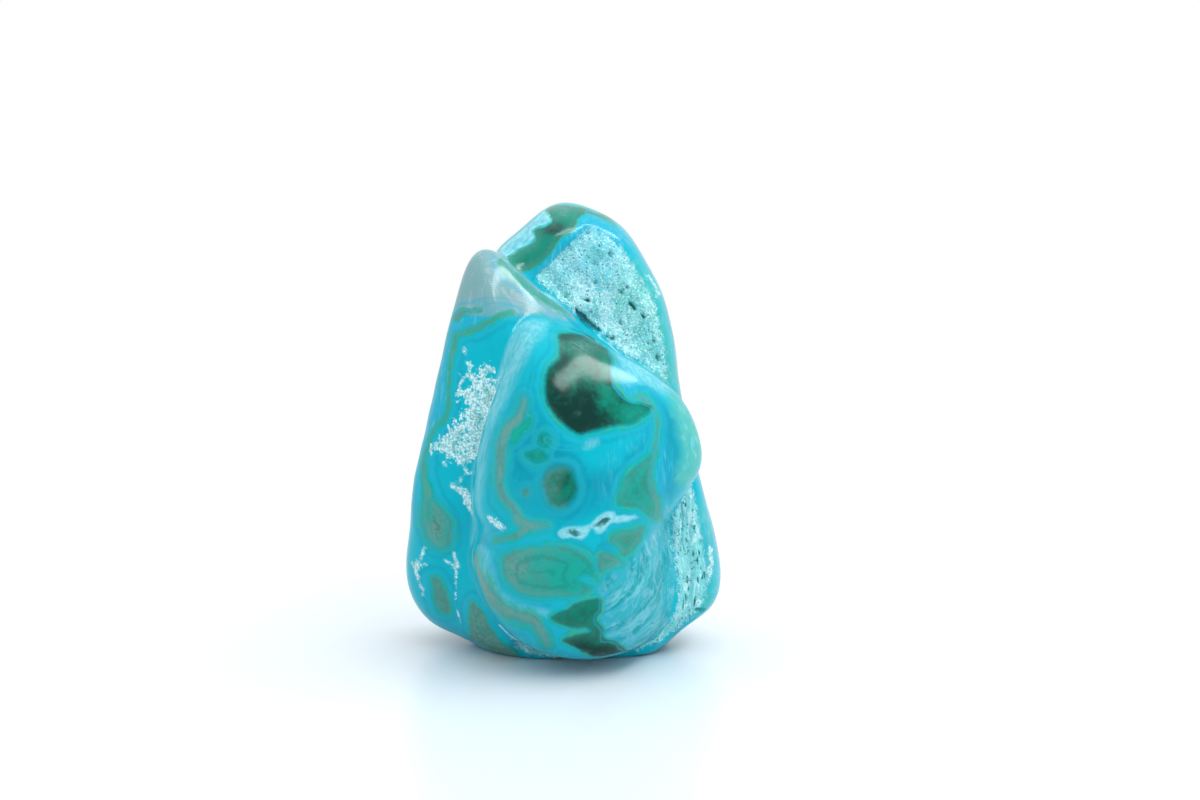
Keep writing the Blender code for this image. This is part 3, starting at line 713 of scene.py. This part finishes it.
# malachite ribbons there: the plane's direction and place, and half the ribbon's usual width
SPACE_RIBBONS = [((0.3, 0.1, 1.0), 68.0, 1.5), ((-0.4, 0.2, 1.0), 41.0, 1.9),
                 ((0.55, -0.1, 1.0), 17.0, 1.6), ((1.0, 0.3, 0.25), 24.0, 1.2)]
# white bodies there: centre, radii
SPACE_WHITES = [
    ((12.0, 30.0, 58.0), (5.0, 6.0, 7.0)), ((-22.0, 22.0, 46.0), (5.0, 6.0, 8.0)),
    ((-6.0, 30.0, 30.0), (6.0, 5.0, 5.0)), ((28.0, 18.0, 38.0), (4.0, 5.0, 7.0)),
    ((8.0, 28.0, 14.0), (7.0, 5.0, 3.0)), ((-30.0, 10.0, 44.0), (4.0, 4.0, 5.0)),
]


def on_sheet(points):
    """Where each point lies on the camera's sheet: its offsets over its depth, times the lens."""
    ahead = (CAMERA_AIM - CAMERA_PLACE) / np.linalg.norm(CAMERA_AIM - CAMERA_PLACE)
    right = np.array([1.0, 0.0, 0.0])
    above = np.cross(right, ahead)
    away = points - CAMERA_PLACE
    scale = SHEET_LENS / (away @ ahead)
    return np.stack([SHEET[0] / 2 + (away @ right) * scale,
                     SHEET[1] / 2 - (away @ above) * scale], -1)


def rounded(outline, closed, steps=5):
    """A smooth line through the points: between two, a cubic led by the neighbours of both."""
    points = np.array(outline, float)
    if closed:
        ends = np.concatenate([points[-1:], points, points[:2]])
    else:
        ends = np.concatenate([2 * points[:1] - points[1:2], points,
                               2 * points[-1:] - points[-2:-1]])
    before, start, end, after = ends[:-3], ends[1:-2], ends[2:-1], ends[3:]
    share = (np.arange(steps) / steps)[None, :, None]
    before, start, end, after = (part[:, None] for part in (before, start, end, after))
    cubic = start + 0.5 * share * (end - before + share * (
        2 * before - 5 * start + 4 * end - after + share * (3 * (start - end) + after - before)))
    line = cubic.reshape(-1, points.shape[1])
    return line if closed else np.concatenate([line, points[-1:]])


def near_line(places, line):
    """Distance from each place to a line of points, less the half width where that is given."""
    nearest = np.full(len(places), np.inf)
    for start, end in zip(line[:-1], line[1:]):
        side = end[:2] - start[:2]
        share = np.clip((places - start[:2]) @ side / max(side @ side, 1e-9), 0.0, 1.0)
        away = np.linalg.norm(places - start[:2] - share[:, None] * side, axis=1)
        if len(start) > 2:
            away = away - (start[2] + share * (end[2] - start[2]))
        nearest = np.minimum(nearest, away)
    return nearest


def within(places, line):
    """Whether each place is inside a closed line: a ray to its right crosses it oddly often."""
    inside = np.zeros(len(places), bool)
    for start, end in zip(line, np.roll(line, -1, axis=0)):
        spans = (start[1] > places[:, 1]) != (end[1] > places[:, 1])
        reach = (end[0] - start[0]) * (places[:, 1] - start[1])
        rise = end[1] - start[1] if end[1] != start[1] else 1e-9
        inside ^= spans & (places[:, 0] < start[0] + reach / rise)
    return inside


class Sketch:
    """Reads drawn marks at the stone's points: distances in mm, less than 0 inside a mark."""

    def __init__(self, points, facing):
        bend = np.stack([cloud(points, 3.2, seed) for seed in (41, 47)], -1)
        self.places = on_sheet(points) + bend * (SHEET_WOBBLE / SHEET_STEP)
        fields = dict(zip(LOBES, lobe_fields(points)))
        nearest = np.minimum.reduce(list(fields.values()))
        turned = TURN_PENALTY * smooth_step(0.3, -0.05, facing)
        self.penalty = {name: turned + SEAM_PENALTY * (field - nearest)
                        for name, field in fields.items()}

    def _read(self, lobe, line, measure):
        """A measure of the places near a line, in mm, and FAR everywhere else."""
        reach = FAR / SHEET_STEP
        low, high = line[:, :2].min(0) - reach, line[:, :2].max(0) + reach
        near = ((self.places > low) & (self.places < high)).all(1)
        result = np.full(len(self.places), FAR)
        result[near] = measure(self.places[near]) * SHEET_STEP
        return np.minimum(result + self.penalty[lobe], FAR)

    def body(self, lobe, outline):
        """Distance out of a closed outline."""
        line = rounded(outline, True)
        shut = np.concatenate([line, line[:1]])
        return self._read(lobe, line, lambda places: np.where(
            within(places, line), -1.0, 1.0) * near_line(places, shut))

    def stroke(self, lobe, points):
        """Distance out of a stroke along the points, as wide as each says."""
        line = rounded(points, False)
        return self._read(lobe, line, lambda places: near_line(places, line))

    def spot(self, lobe, centre, radii):
        """A bell round a centre on the sheet, only on its own lobe."""
        bell = np.exp(-(((self.places - centre) / radii) ** 2).sum(-1))
        return bell * (self.penalty[lobe] < 1.0)


def bent_by(points, size, reach, seed):
    """The points moved by up to about this reach along three clouds of this size."""
    return points + reach * np.stack([cloud(points, size, seed + axis) for axis in range(3)], -1)


def space_bodies(points, bodies, seed, hidden):
    """Distance to the nearest of the bent ellipsoids, pushed back where the drawn front shows."""
    bent = bent_by(points, 9.0, SPACE_WOBBLE, seed)
    nearest = np.full(len(points), FAR)
    for centre, radii in bodies:
        away = np.linalg.norm((bent - centre) / np.array(radii), axis=-1) - 1.0
        nearest = np.minimum(nearest, away * min(radii))
    return np.minimum(nearest + TURN_PENALTY * hidden, FAR)


def chipped(points, facing):
    """Depth of the cracks and chipped holes, in mm: each is full a little inside its edge."""
    sketch = Sketch(points, facing)
    wander = 0.25 * cloud(points, 0.9, 151)
    depth = np.zeros(len(points))
    for lobe, line, most in CHIPS:
        away = sketch.stroke(lobe, line) + wander
        depth = np.maximum(depth, most * smooth_step(0.25, -0.3, away))
    return depth


def pattern_values(points, facing, rough, grain):
    """Everything that the stone's colour reads, one number a point for each name."""
    facing = facing + TURN_WANDER * np.maximum(cloud(points, 7.0, 171), 0.0)
    hidden = smooth_step(0.0, 0.35, facing)
    sketch = Sketch(points, facing)
    bent = bent_by(points, 14.0, SPACE_WOBBLE * 2.0, 63)
    ribbon = np.full(len(points), FAR)
    for way, place, half in SPACE_RIBBONS:
        width = half * (0.55 + 0.9 * cloud(points, 15.0, 65))
        across = np.abs(bent @ (np.array(way) / np.linalg.norm(way)) - place)
        ribbon = np.minimum(ribbon, across - width)
    edge = space_bodies(points, SPACE_GREENS, 61, hidden)
    rear, left, front = lobe_fields(points)
    in_cleft = smooth_step(6.0, 2.0, front - np.minimum(rear, left))
    edge = np.minimum(edge, ribbon + TURN_PENALTY * np.maximum(hidden, in_cleft))
    shade = 0.5 + 0.35 * cloud(points, 7.0, 71)
    brown = 0.4 + 0.35 * cloud(points, 9.0, 81)
    soft = np.full(len(points), 0.3)
    marks = [(sketch.body(lobe, line), *look) for lobe, line, *look in GREEN_BODIES]
    marks += [(sketch.stroke(lobe, line), *look) for lobe, line, *look in GREEN_STRIPES]
    for away, dark, tint, blur in marks:
        mine = away < edge
        shade, brown = np.where(mine, dark, shade), np.where(mine, tint, brown)
        soft = np.where(mine, blur, soft)
        edge = np.minimum(edge, away)
    for lobe, centre, radii, change in SHADE_SPOTS:
        shade = shade + change * sketch.spot(lobe, centre, radii)
    for lobe, centre, radii, change in BROWN_SPOTS:
        brown = brown + change * sketch.spot(lobe, centre, radii)
    for lobe, line in BLUE_INLETS:
        edge = np.maximum(edge, -sketch.body(lobe, line))
    white = space_bodies(points, SPACE_WHITES, 91, hidden)
    for lobe, line in WHITE_BODIES:
        white = np.minimum(white, sketch.body(lobe, line))
    thin = np.minimum.reduce([sketch.stroke(lobe, line) for lobe, line in WHITE_FEATHERS])
    fray = np.where(thin < white, 0.22, 1.0)
    white = np.minimum(white, thin)
    fine = 5.0 * np.abs(cloud(points, 11.0, 95)) + TURN_PENALTY * hidden
    for lobe, line in FINE_LINES:
        fine = np.minimum(fine, sketch.stroke(lobe, line))
    hole = np.minimum.reduce([sketch.body(lobe, line) for lobe, line in VUG_HOLES])
    values = dict(edge=edge, shade=shade, brown=brown, soft=soft, white=white, fray=fray, fine=fine,
                  vug=sketch.body(*VUG), hole=hole, rough=rough, grain=grain)
    values["arc"] = np.linalg.norm(sketch.places - STREAK_CENTRE, axis=1) * SHEET_STEP
    values["furrow"] = rough * smooth_step(44.0, 36.0, points[:, 2])
    back = 1.0 - hidden
    values["deep"] = (0.5 + 0.5 * cloud(points, 14.0, 161)) * back
    values["pale_and_rim_sheen"] = 0.5 * back * smooth_step(0.1, 0.7, cloud(bent, 13.0, 101))
    values["haze"] = np.zeros(len(points))
    values["teal"] = back * smooth_step(0.25, 0.9, cloud(bent, 12.0, 121))
    values["blue"] = back * smooth_step(0.1, 0.7, cloud(bent, 10.0, 131))
    crest = smooth_step(*CREST_FOOT, points[:, 2] + 1.2 * back * cloud(points, 6.0, 141))
    values["grey"] = crest * smooth_step(0.0, 1.0, np.minimum(rear, front) - left)
    for name, lobe, outline, blend, strength in SOFT_PATCHES:
        share = strength * smooth_step(blend, -blend, sketch.body(lobe, outline))
        values[name] = np.maximum(values[name], share)
    return values


def linear(red, green, blue):
    """A display colour of 0 to 255 as the light that it stands for."""
    shares = np.array([red, green, blue]) / 255.0
    light = np.where(shares <= 0.04045, shares / 12.92, ((shares + 0.055) / 1.055) ** 2.4)
    return (*[float(part) for part in light], 1.0)


class Flow:
    """A socket of a material's nodes; arithmetic on it adds the Math nodes that work it out."""

    def __init__(self, tree, socket):
        self.tree, self.socket = tree, socket

    def node(self, kind, settings=(), inputs=(), output=0):
        """Adds one node: its settings first, then the values or links of its sockets."""
        made = self.tree.nodes.new(kind)
        for name, value in dict(settings).items():
            setattr(made, name, value)
        for name, value in dict(inputs).items():
            if isinstance(value, Flow):
                self.tree.links.new(value.socket, made.inputs[name])
            else:
                made.inputs[name].default_value = value
        return Flow(self.tree, made.outputs[output])

    def _math(self, operation, one, two):
        return self.node("ShaderNodeMath", {"operation": operation}, {0: one, 1: two})

    def __add__(self, other):
        return self._math("ADD", self, other)

    def __sub__(self, other):
        return self._math("SUBTRACT", self, other)

    def __rsub__(self, other):
        return self._math("SUBTRACT", other, self)

    def __mul__(self, other):
        return self._math("MULTIPLY", self, other)

    def __truediv__(self, other):
        return self._math("DIVIDE", self, other)

    __radd__, __rmul__ = __add__, __mul__

    def __abs__(self):
        return self._math("ABSOLUTE", self, 0.0)

    def step(self, low, high):
        """0 at low, 1 at high and an S between them; low may be the larger."""
        return self.node("ShaderNodeMapRange", {"interpolation_type": "SMOOTHSTEP"},
                         {0: self, 1: low, 2: high, 3: 0.0, 4: 1.0})

    def sine(self):
        return self._math("SINE", self, 0.0)

    def band(self, middle, half):
        """1 where the value is at the middle, falling to 0 at half a width to either side."""
        return abs(self - middle).step(half, 0.0)


def blend(share, one, two):
    """The first colour where the share is 0 and the second where it is 1."""
    return share.node("ShaderNodeMix", {"data_type": "RGBA"}, {0: share, 6: one, 7: two}, 2)


DEEP_CYAN = linear(0, 134, 157)
BRIGHT_CYAN = linear(0, 171, 189)
SKY_BLUE = linear(34, 164, 194)
PALE_CYAN = linear(144, 208, 218)
HAZE_BLUE = linear(50, 164, 178)
HAZE_LILAC = linear(112, 180, 196)
HAZE_TEAL = linear(10, 146, 156)
SOFT_TEAL = linear(78, 176, 168)
CREST_GREY = linear(122, 162, 166)
CREST_PINK = linear(158, 176, 184)
DARK_GREEN = linear(8, 52, 46)
MID_GREEN = linear(4, 124, 104)
LIGHT_GREEN = linear(22, 154, 142)
BRIGHT_GREEN = linear(0, 168, 128)
BROWN_GREEN = linear(100, 148, 142)
LINE_GREEN = linear(74, 164, 124)
HALO_GREEN = linear(6, 158, 144)
FEATHER_WHITE = linear(204, 234, 238)
FEATHER_GREY = linear(134, 190, 194)
SPONGE_PALE = linear(166, 222, 228)
SPONGE_WHITE = linear(212, 242, 246)
SPONGE_TEAL = linear(116, 202, 206)
SPONGE_BLUE = linear(92, 184, 204)
PORE_TEAL = linear(4, 100, 98)
FLOOR_WHITE = linear(219, 228, 236)


def stone_finish():
    """The stone's colours, its polish and the grain that is too fine for the mesh."""
    material = bpy.data.materials.new("banded_stone")
    material.use_nodes = True
    tree = material.node_tree
    shader = tree.nodes["Principled BSDF"]
    start = Flow(tree, None)

    def value(name):
        return start.node("ShaderNodeAttribute", {"attribute_name": name}, output="Fac")

    object_place = start.node("ShaderNodeTexCoord", output="Object")
    place = start.node("ShaderNodeVectorMath", {"operation": "SCALE"},
                       {0: object_place, "Scale": 1.0 / MM})
    upright = start.node("ShaderNodeVectorMath", {"operation": "MULTIPLY"},
                         {0: place, 1: (1.0, 1.0, 0.16)})
    height = start.node("ShaderNodeSeparateXYZ", {}, {0: place}, "Z")
    arc = start.node("ShaderNodeCombineXYZ", {}, {0: value("arc"), 1: height * 0.2})

    def noise(size, detail=3.0, warp=0.0, at=place):
        return start.node("ShaderNodeTexNoise", {},
                          {"Vector": at, "Scale": 1.0 / size, "Detail": detail,
                           "Distortion": warp}, "Fac")

    def cells(size, at=place):
        return start.node("ShaderNodeTexVoronoi", {}, {"Vector": at, "Scale": 1.0 / size},
                          "Distance")

    slow, mid, small, tiny = noise(9.0, 4.0, 0.6), noise(2.4, 4.0, 0.8), noise(0.8), noise(0.3, 2.0)
    wander = (small - 0.5) * 0.6 + (tiny - 0.5) * 0.3
    edge = value("edge") + wander
    near = edge / value("soft")

    # chrysocolla: deep and bright cyan, banded along the malachite's edges
    colour = blend(value("deep") - slow.step(0.36, 0.64) * 0.25, BRIGHT_CYAN, DEEP_CYAN)
    colour = blend(mid.step(0.52, 0.72) * 0.2, colour, SKY_BLUE)
    ripple = (edge * 2.4 + slow * 10.0 + mid * 2.5).sine()
    beside = edge.step(5.0, 1.0)
    colour = blend(ripple.step(0.1, 0.95) * beside * 0.25, colour, SKY_BLUE)
    colour = blend(ripple.step(-0.1, -0.95) * beside * 0.4, colour, DEEP_CYAN)
    streaks = noise(0.8, 3.0, 0.5, upright)
    colour = blend(value("blue") * (0.55 + 0.45 * streaks.step(0.4, 0.6)), colour, SKY_BLUE)
    colour = blend(value("blue") * streaks.step(0.5, 0.72) * 0.3, colour, PALE_CYAN)
    colour = blend(value("teal") * (0.6 + 0.35 * mid.step(0.35, 0.6)), colour, SOFT_TEAL)
    colour = blend(value("teal") * noise(2.0, 5.0).step(0.5, 0.7) * 0.3, colour, PALE_CYAN)
    brushed = noise(2.2, 5.0, 0.8, arc)
    haze = blend(brushed.step(0.4, 0.56), HAZE_TEAL, HAZE_BLUE)
    haze = blend(noise(2.0, 6.0, 1.2).step(0.48, 0.68) * 0.5, haze, HAZE_LILAC)
    haze = blend(noise(1.1, 6.0, 1.4, arc).step(0.5, 0.72) * 0.5, haze, PALE_CYAN)
    colour = blend(value("haze") * 0.95, colour, haze)
    combed = (height * 15.0 + slow * 20.0).sine()
    crest = blend(noise(2.2, 4.0, 1.0, upright).step(0.5, 0.62) * 0.7, CREST_GREY, CREST_PINK)
    crest = blend(combed.step(0.3, 1.0) * 0.16, crest, MID_GREEN)
    colour = blend(value("grey") * 0.95, colour, crest)
    # pale streaks: the stone's own pale bands, plus painted highlight on the front lobe's rims and on
    # the spot below its eye
    colour = blend(value("pale_and_rim_sheen") * (0.5 + 0.5 * streaks.step(0.38, 0.6)), colour, PALE_CYAN)

    # malachite: brown inside its rim, and fringed by a green line and a blue halo
    shade = value("shade") + (mid - 0.5) * 0.6 + (small - 0.5) * 0.3
    green = blend(shade.step(0.05, 0.45), LIGHT_GREEN, MID_GREEN)
    green = blend(shade.step(0.05, -0.35), green, BRIGHT_GREEN)
    green = blend(shade.step(0.4, 0.95), green, DARK_GREEN)
    brown = value("brown") + (mid - 0.5) * 0.5
    speckled = 0.45 + 0.55 * small.step(0.4, 0.6)
    green = blend(brown.step(0.1, 1.0) * speckled, green, BROWN_GREEN)
    green = blend(edge.step(-1.5, -0.3) * brown.step(0.0, 0.7) * 0.5, green, BROWN_GREEN)
    green = blend(tiny.step(0.54, 0.68) * brown.step(0.2, 0.6) * 0.35, green, HALO_GREEN)
    rings = (edge * 2.2 + slow * 12.0 + mid * 3.0).sine()
    green = blend(rings.step(0.0, 1.0) * 0.16, green, DARK_GREEN)
    faint = (0.25 + 0.75 * mid.step(0.38, 0.6)) * (0.25 + 0.75 * slow.step(0.4, 0.56))
    colour = blend(edge.band(1.4, 0.9) * 0.35, colour, SKY_BLUE)
    halo = near.step(2.4, 0.9) * value("soft").step(1.3, 0.5)
    colour = blend(halo * (0.45 + 0.4 * mid.step(0.4, 0.6)), colour, HALO_GREEN)
    colour = blend(near.step(0.9, -0.9), colour, green)
    line = (edge - value("soft") * 0.8).band(0.0, 0.3) * value("soft").step(1.2, 0.6)
    colour = blend(line * faint * 0.6, colour, LINE_GREEN)
    fine = value("fine") + wander * 0.6
    colour = blend(fine.band(0.0, 0.26) * faint * 0.7, colour, LINE_GREEN)
    colour = blend(fine.band(0.6, 0.4) * 0.4, colour, SKY_BLUE)

    # white lace: frayed, with ringed holes, and the white-lined vug
    ragged = (noise(1.5, 6.0, 0.8) - 0.5) * 7.0 + (tiny - 0.5) * 1.4
    white = value("white") + ragged * value("fray") + (small - 0.5) * 0.8
    lace = white.step(0.3, -0.2)
    deep_lace = white.step(-0.8, -2.2)
    thread = blend(noise(0.45, 3.0).step(0.42, 0.6), FEATHER_GREY, FEATHER_WHITE)
    thread = blend(deep_lace * noise(2.2, 3.0).step(0.48, 0.62) * 0.4, thread, MID_GREEN)
    holes = cells(1.15).step(0.34, 0.2) * white.step(-0.3, -1.2)
    thread = blend(holes * 0.9, thread, BRIGHT_CYAN)
    colour = blend(lace * 0.94, colour, thread)
    vug = (value("vug") + wander * 1.3).step(0.35, -0.35)
    colour = blend(vug * (0.6 + 0.3 * small.step(0.4, 0.6)), colour, PALE_CYAN)
    colour = blend((value("hole") + wander).step(0.3, -0.25) * 0.85, colour, PORE_TEAL)

    # the rough face: pale sponge, crumbs and dark pores
    share = value("rough")
    at_border = share * (1.0 - share) * 4.0
    rough = (share + ((small - 0.5) * 1.6 + (tiny - 0.5) * 0.8) * at_border).step(0.2, 0.75)
    sponge = blend(noise(5.0, 4.0, 0.4).step(0.4, 0.6), SPONGE_TEAL, SPONGE_PALE)
    sponge = blend(noise(3.4, 3.0, 0.3).step(0.54, 0.68) * 0.6, sponge, SPONGE_BLUE)
    crumbs = noise(0.42, 3.0)
    sponge = blend(crumbs.step(0.5, 0.38) * 0.5, sponge, SPONGE_TEAL)
    sponge = blend(value("blue") * 0.8, sponge, SPONGE_BLUE)
    sponge = blend(value("teal") * mid.step(0.3, 0.6) * 0.7, sponge, SOFT_TEAL)
    white_crumbs = 0.8 - value("blue") * 0.5 - value("teal") * 0.3
    sponge = blend(crumbs.step(0.5, 0.64) * white_crumbs, sponge, SPONGE_WHITE)
    sponge = blend(value("furrow") * 0.7, sponge, SPONGE_TEAL)
    groove = noise(0.7, 4.0, 0.3, upright)
    sponge = blend(value("furrow") * groove.step(0.52, 0.66) * 0.7, sponge, SPONGE_TEAL)
    sponge = blend(value("furrow") * groove.step(0.46, 0.36) * 0.6, sponge, SPONGE_WHITE)
    pores = cells(0.7).step(0.3, 0.14) * noise(2.0, 4.0).step(0.42, 0.56)
    sponge = blend(pores * 0.7, sponge, PORE_TEAL)
    rows = cells(0.75, upright).step(0.4, 0.2) * noise(1.6, 3.0).step(0.45, 0.55)
    sponge = blend((value("furrow") + value("teal") * 0.6) * rows * 0.7, sponge, PORE_TEAL)
    sponge = blend(value("grain").step(0.5, 1.0) * 0.85, sponge, PORE_TEAL)
    colour = blend(rough * edge.step(-0.2, 0.3), colour, sponge)

    gloss = 0.16 + 0.42 * rough + lace * 0.12
    grain_height = crumbs - pores * 0.7
    bump = start.node("ShaderNodeBump", {},
                      {"Strength": 1.0, "Distance": BUMP_DEPTH * MM, "Height": grain_height * rough})
    tree.links.new(colour.socket, shader.inputs["Base Color"])
    tree.links.new(gloss.socket, shader.inputs["Roughness"])
    tree.links.new(bump.socket, shader.inputs["Normal"])
    shader.inputs["Specular IOR Level"].default_value = STONE_MIRROR
    return material


def plain_material(name, colour, roughness):
    """A material of one colour and one roughness."""
    material = bpy.data.materials.new(name)
    material.use_nodes = True
    shader = material.node_tree.nodes["Principled BSDF"]
    shader.inputs["Base Color"].default_value = colour
    shader.inputs["Roughness"].default_value = roughness
    return material


def floor_finish():
    """Pale gloss round the stone that clears into the white room further off."""
    material = plain_material("pale_floor", FLOOR_WHITE, 0.3)
    tree = material.node_tree
    start = Flow(tree, None)
    place = start.node("ShaderNodeTexCoord", output="Object")
    reach = start.node("ShaderNodeVectorMath", {"operation": "LENGTH"}, {0: place}, "Value")
    shader = Flow(tree, tree.nodes["Principled BSDF"].outputs[0])
    clear = start.node("ShaderNodeBsdfTransparent")
    both = start.node("ShaderNodeMixShader", {}, {0: reach.step(*FLOOR_REACH), 1: shader, 2: clear})
    tree.links.new(both.socket, tree.nodes["Material Output"].inputs["Surface"])
    return material


def white_room():
    """A plain white room all round: the white behind the stone, and its soft light."""
    world = bpy.data.worlds.new("white_room")
    world.use_nodes = True
    background = world.node_tree.nodes["Background"]
    background.inputs["Color"].default_value = (1.0, 1.0, 1.0, 1.0)
    background.inputs["Strength"].default_value = ROOM_LIGHT
    return world


def add_object(name, data):
    """A new object with this data, in the scene."""
    thing = bpy.data.objects.new(name, data)
    bpy.context.scene.collection.objects.link(thing)
    return thing


def add_panel(name, place, aim, size, power, mirrored=True, lights=True):
    """A flat soft light facing its aim; it may be kept out of reflections, or be only in them."""
    lamp = bpy.data.lights.new(name, "AREA")
    lamp.shape = "RECTANGLE"
    lamp.size, lamp.size_y = size
    lamp.energy = power
    panel = add_object(name, lamp)
    panel.visible_glossy = mirrored
    panel.visible_diffuse = lights
    panel.location = place
    panel.rotation_euler = (Vector(aim) - Vector(place)).to_track_quat("-Z", "Y").to_euler()
    return panel


# --- the stone ---------------------------------------------------------------------------------
skin, net = fine_skin()
rough = rough_share(skin)
normals = outward(skin)
to_eye = CAMERA_PLACE - skin
facing = (normals * to_eye).sum(-1) / np.linalg.norm(to_eye, axis=1)
grain = rough * fine_relief(skin) + chipped(skin, facing)
values = pattern_values(skin, facing, rough, grain)
skin = skin - normals * (rough * rough_relief(skin) + grain)[:, None]
skin[skin[:, 2] < BASE_SNAP, 2] = 0.0
stone = add_object("polished_stone_skin", stone_mesh(skin, net, values))
stone.data.materials.append(stone_finish())
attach(stone, "root")
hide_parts("polished_stone")

# --- floor, light and camera -------------------------------------------------------------------
floor_mesh = bpy.data.meshes.new("floor")
floor_corners = [(across * FLOOR_HALF, along * FLOOR_HALF, 0.0)
                 for across, along in ((-1, -1), (1, -1), (1, 1), (-1, 1))]
floor_mesh.from_pydata(floor_corners, [], [(0, 1, 2, 3)])
floor = add_object("floor", floor_mesh)
floor.data.materials.append(floor_finish())

bpy.context.scene.world = white_room()
bpy.context.scene.view_settings.view_transform = "Standard"
add_panel("key_panel", (0.486, -0.18, 0.78), LAMP_AIM, (1.3, 0.2), 4.0, mirrored=False)
add_panel("glint_panel", (0.42, -0.2, 0.8), LAMP_AIM, (1.5, 0.19), 28.0, lights=False)
add_panel("ceiling_panel", (0.0, 0.0, 1.2), (0.0, 0.0, 0.0), (1.5, 1.5), 5.6)

camera_data = bpy.data.cameras.new("camera")
camera_data.lens = CAMERA_LENS
camera_data.sensor_width = SENSOR_WIDTH
camera_data.clip_end = CAMERA_CLIP
camera = add_object("camera", camera_data)
camera.location = Vector((CAMERA_PLACE + CENTRING) * MM)
looking = Vector((CAMERA_AIM - CAMERA_PLACE) * MM)
camera.rotation_euler = looking.to_track_quat("-Z", "Y").to_euler()
bpy.context.scene.camera = camera
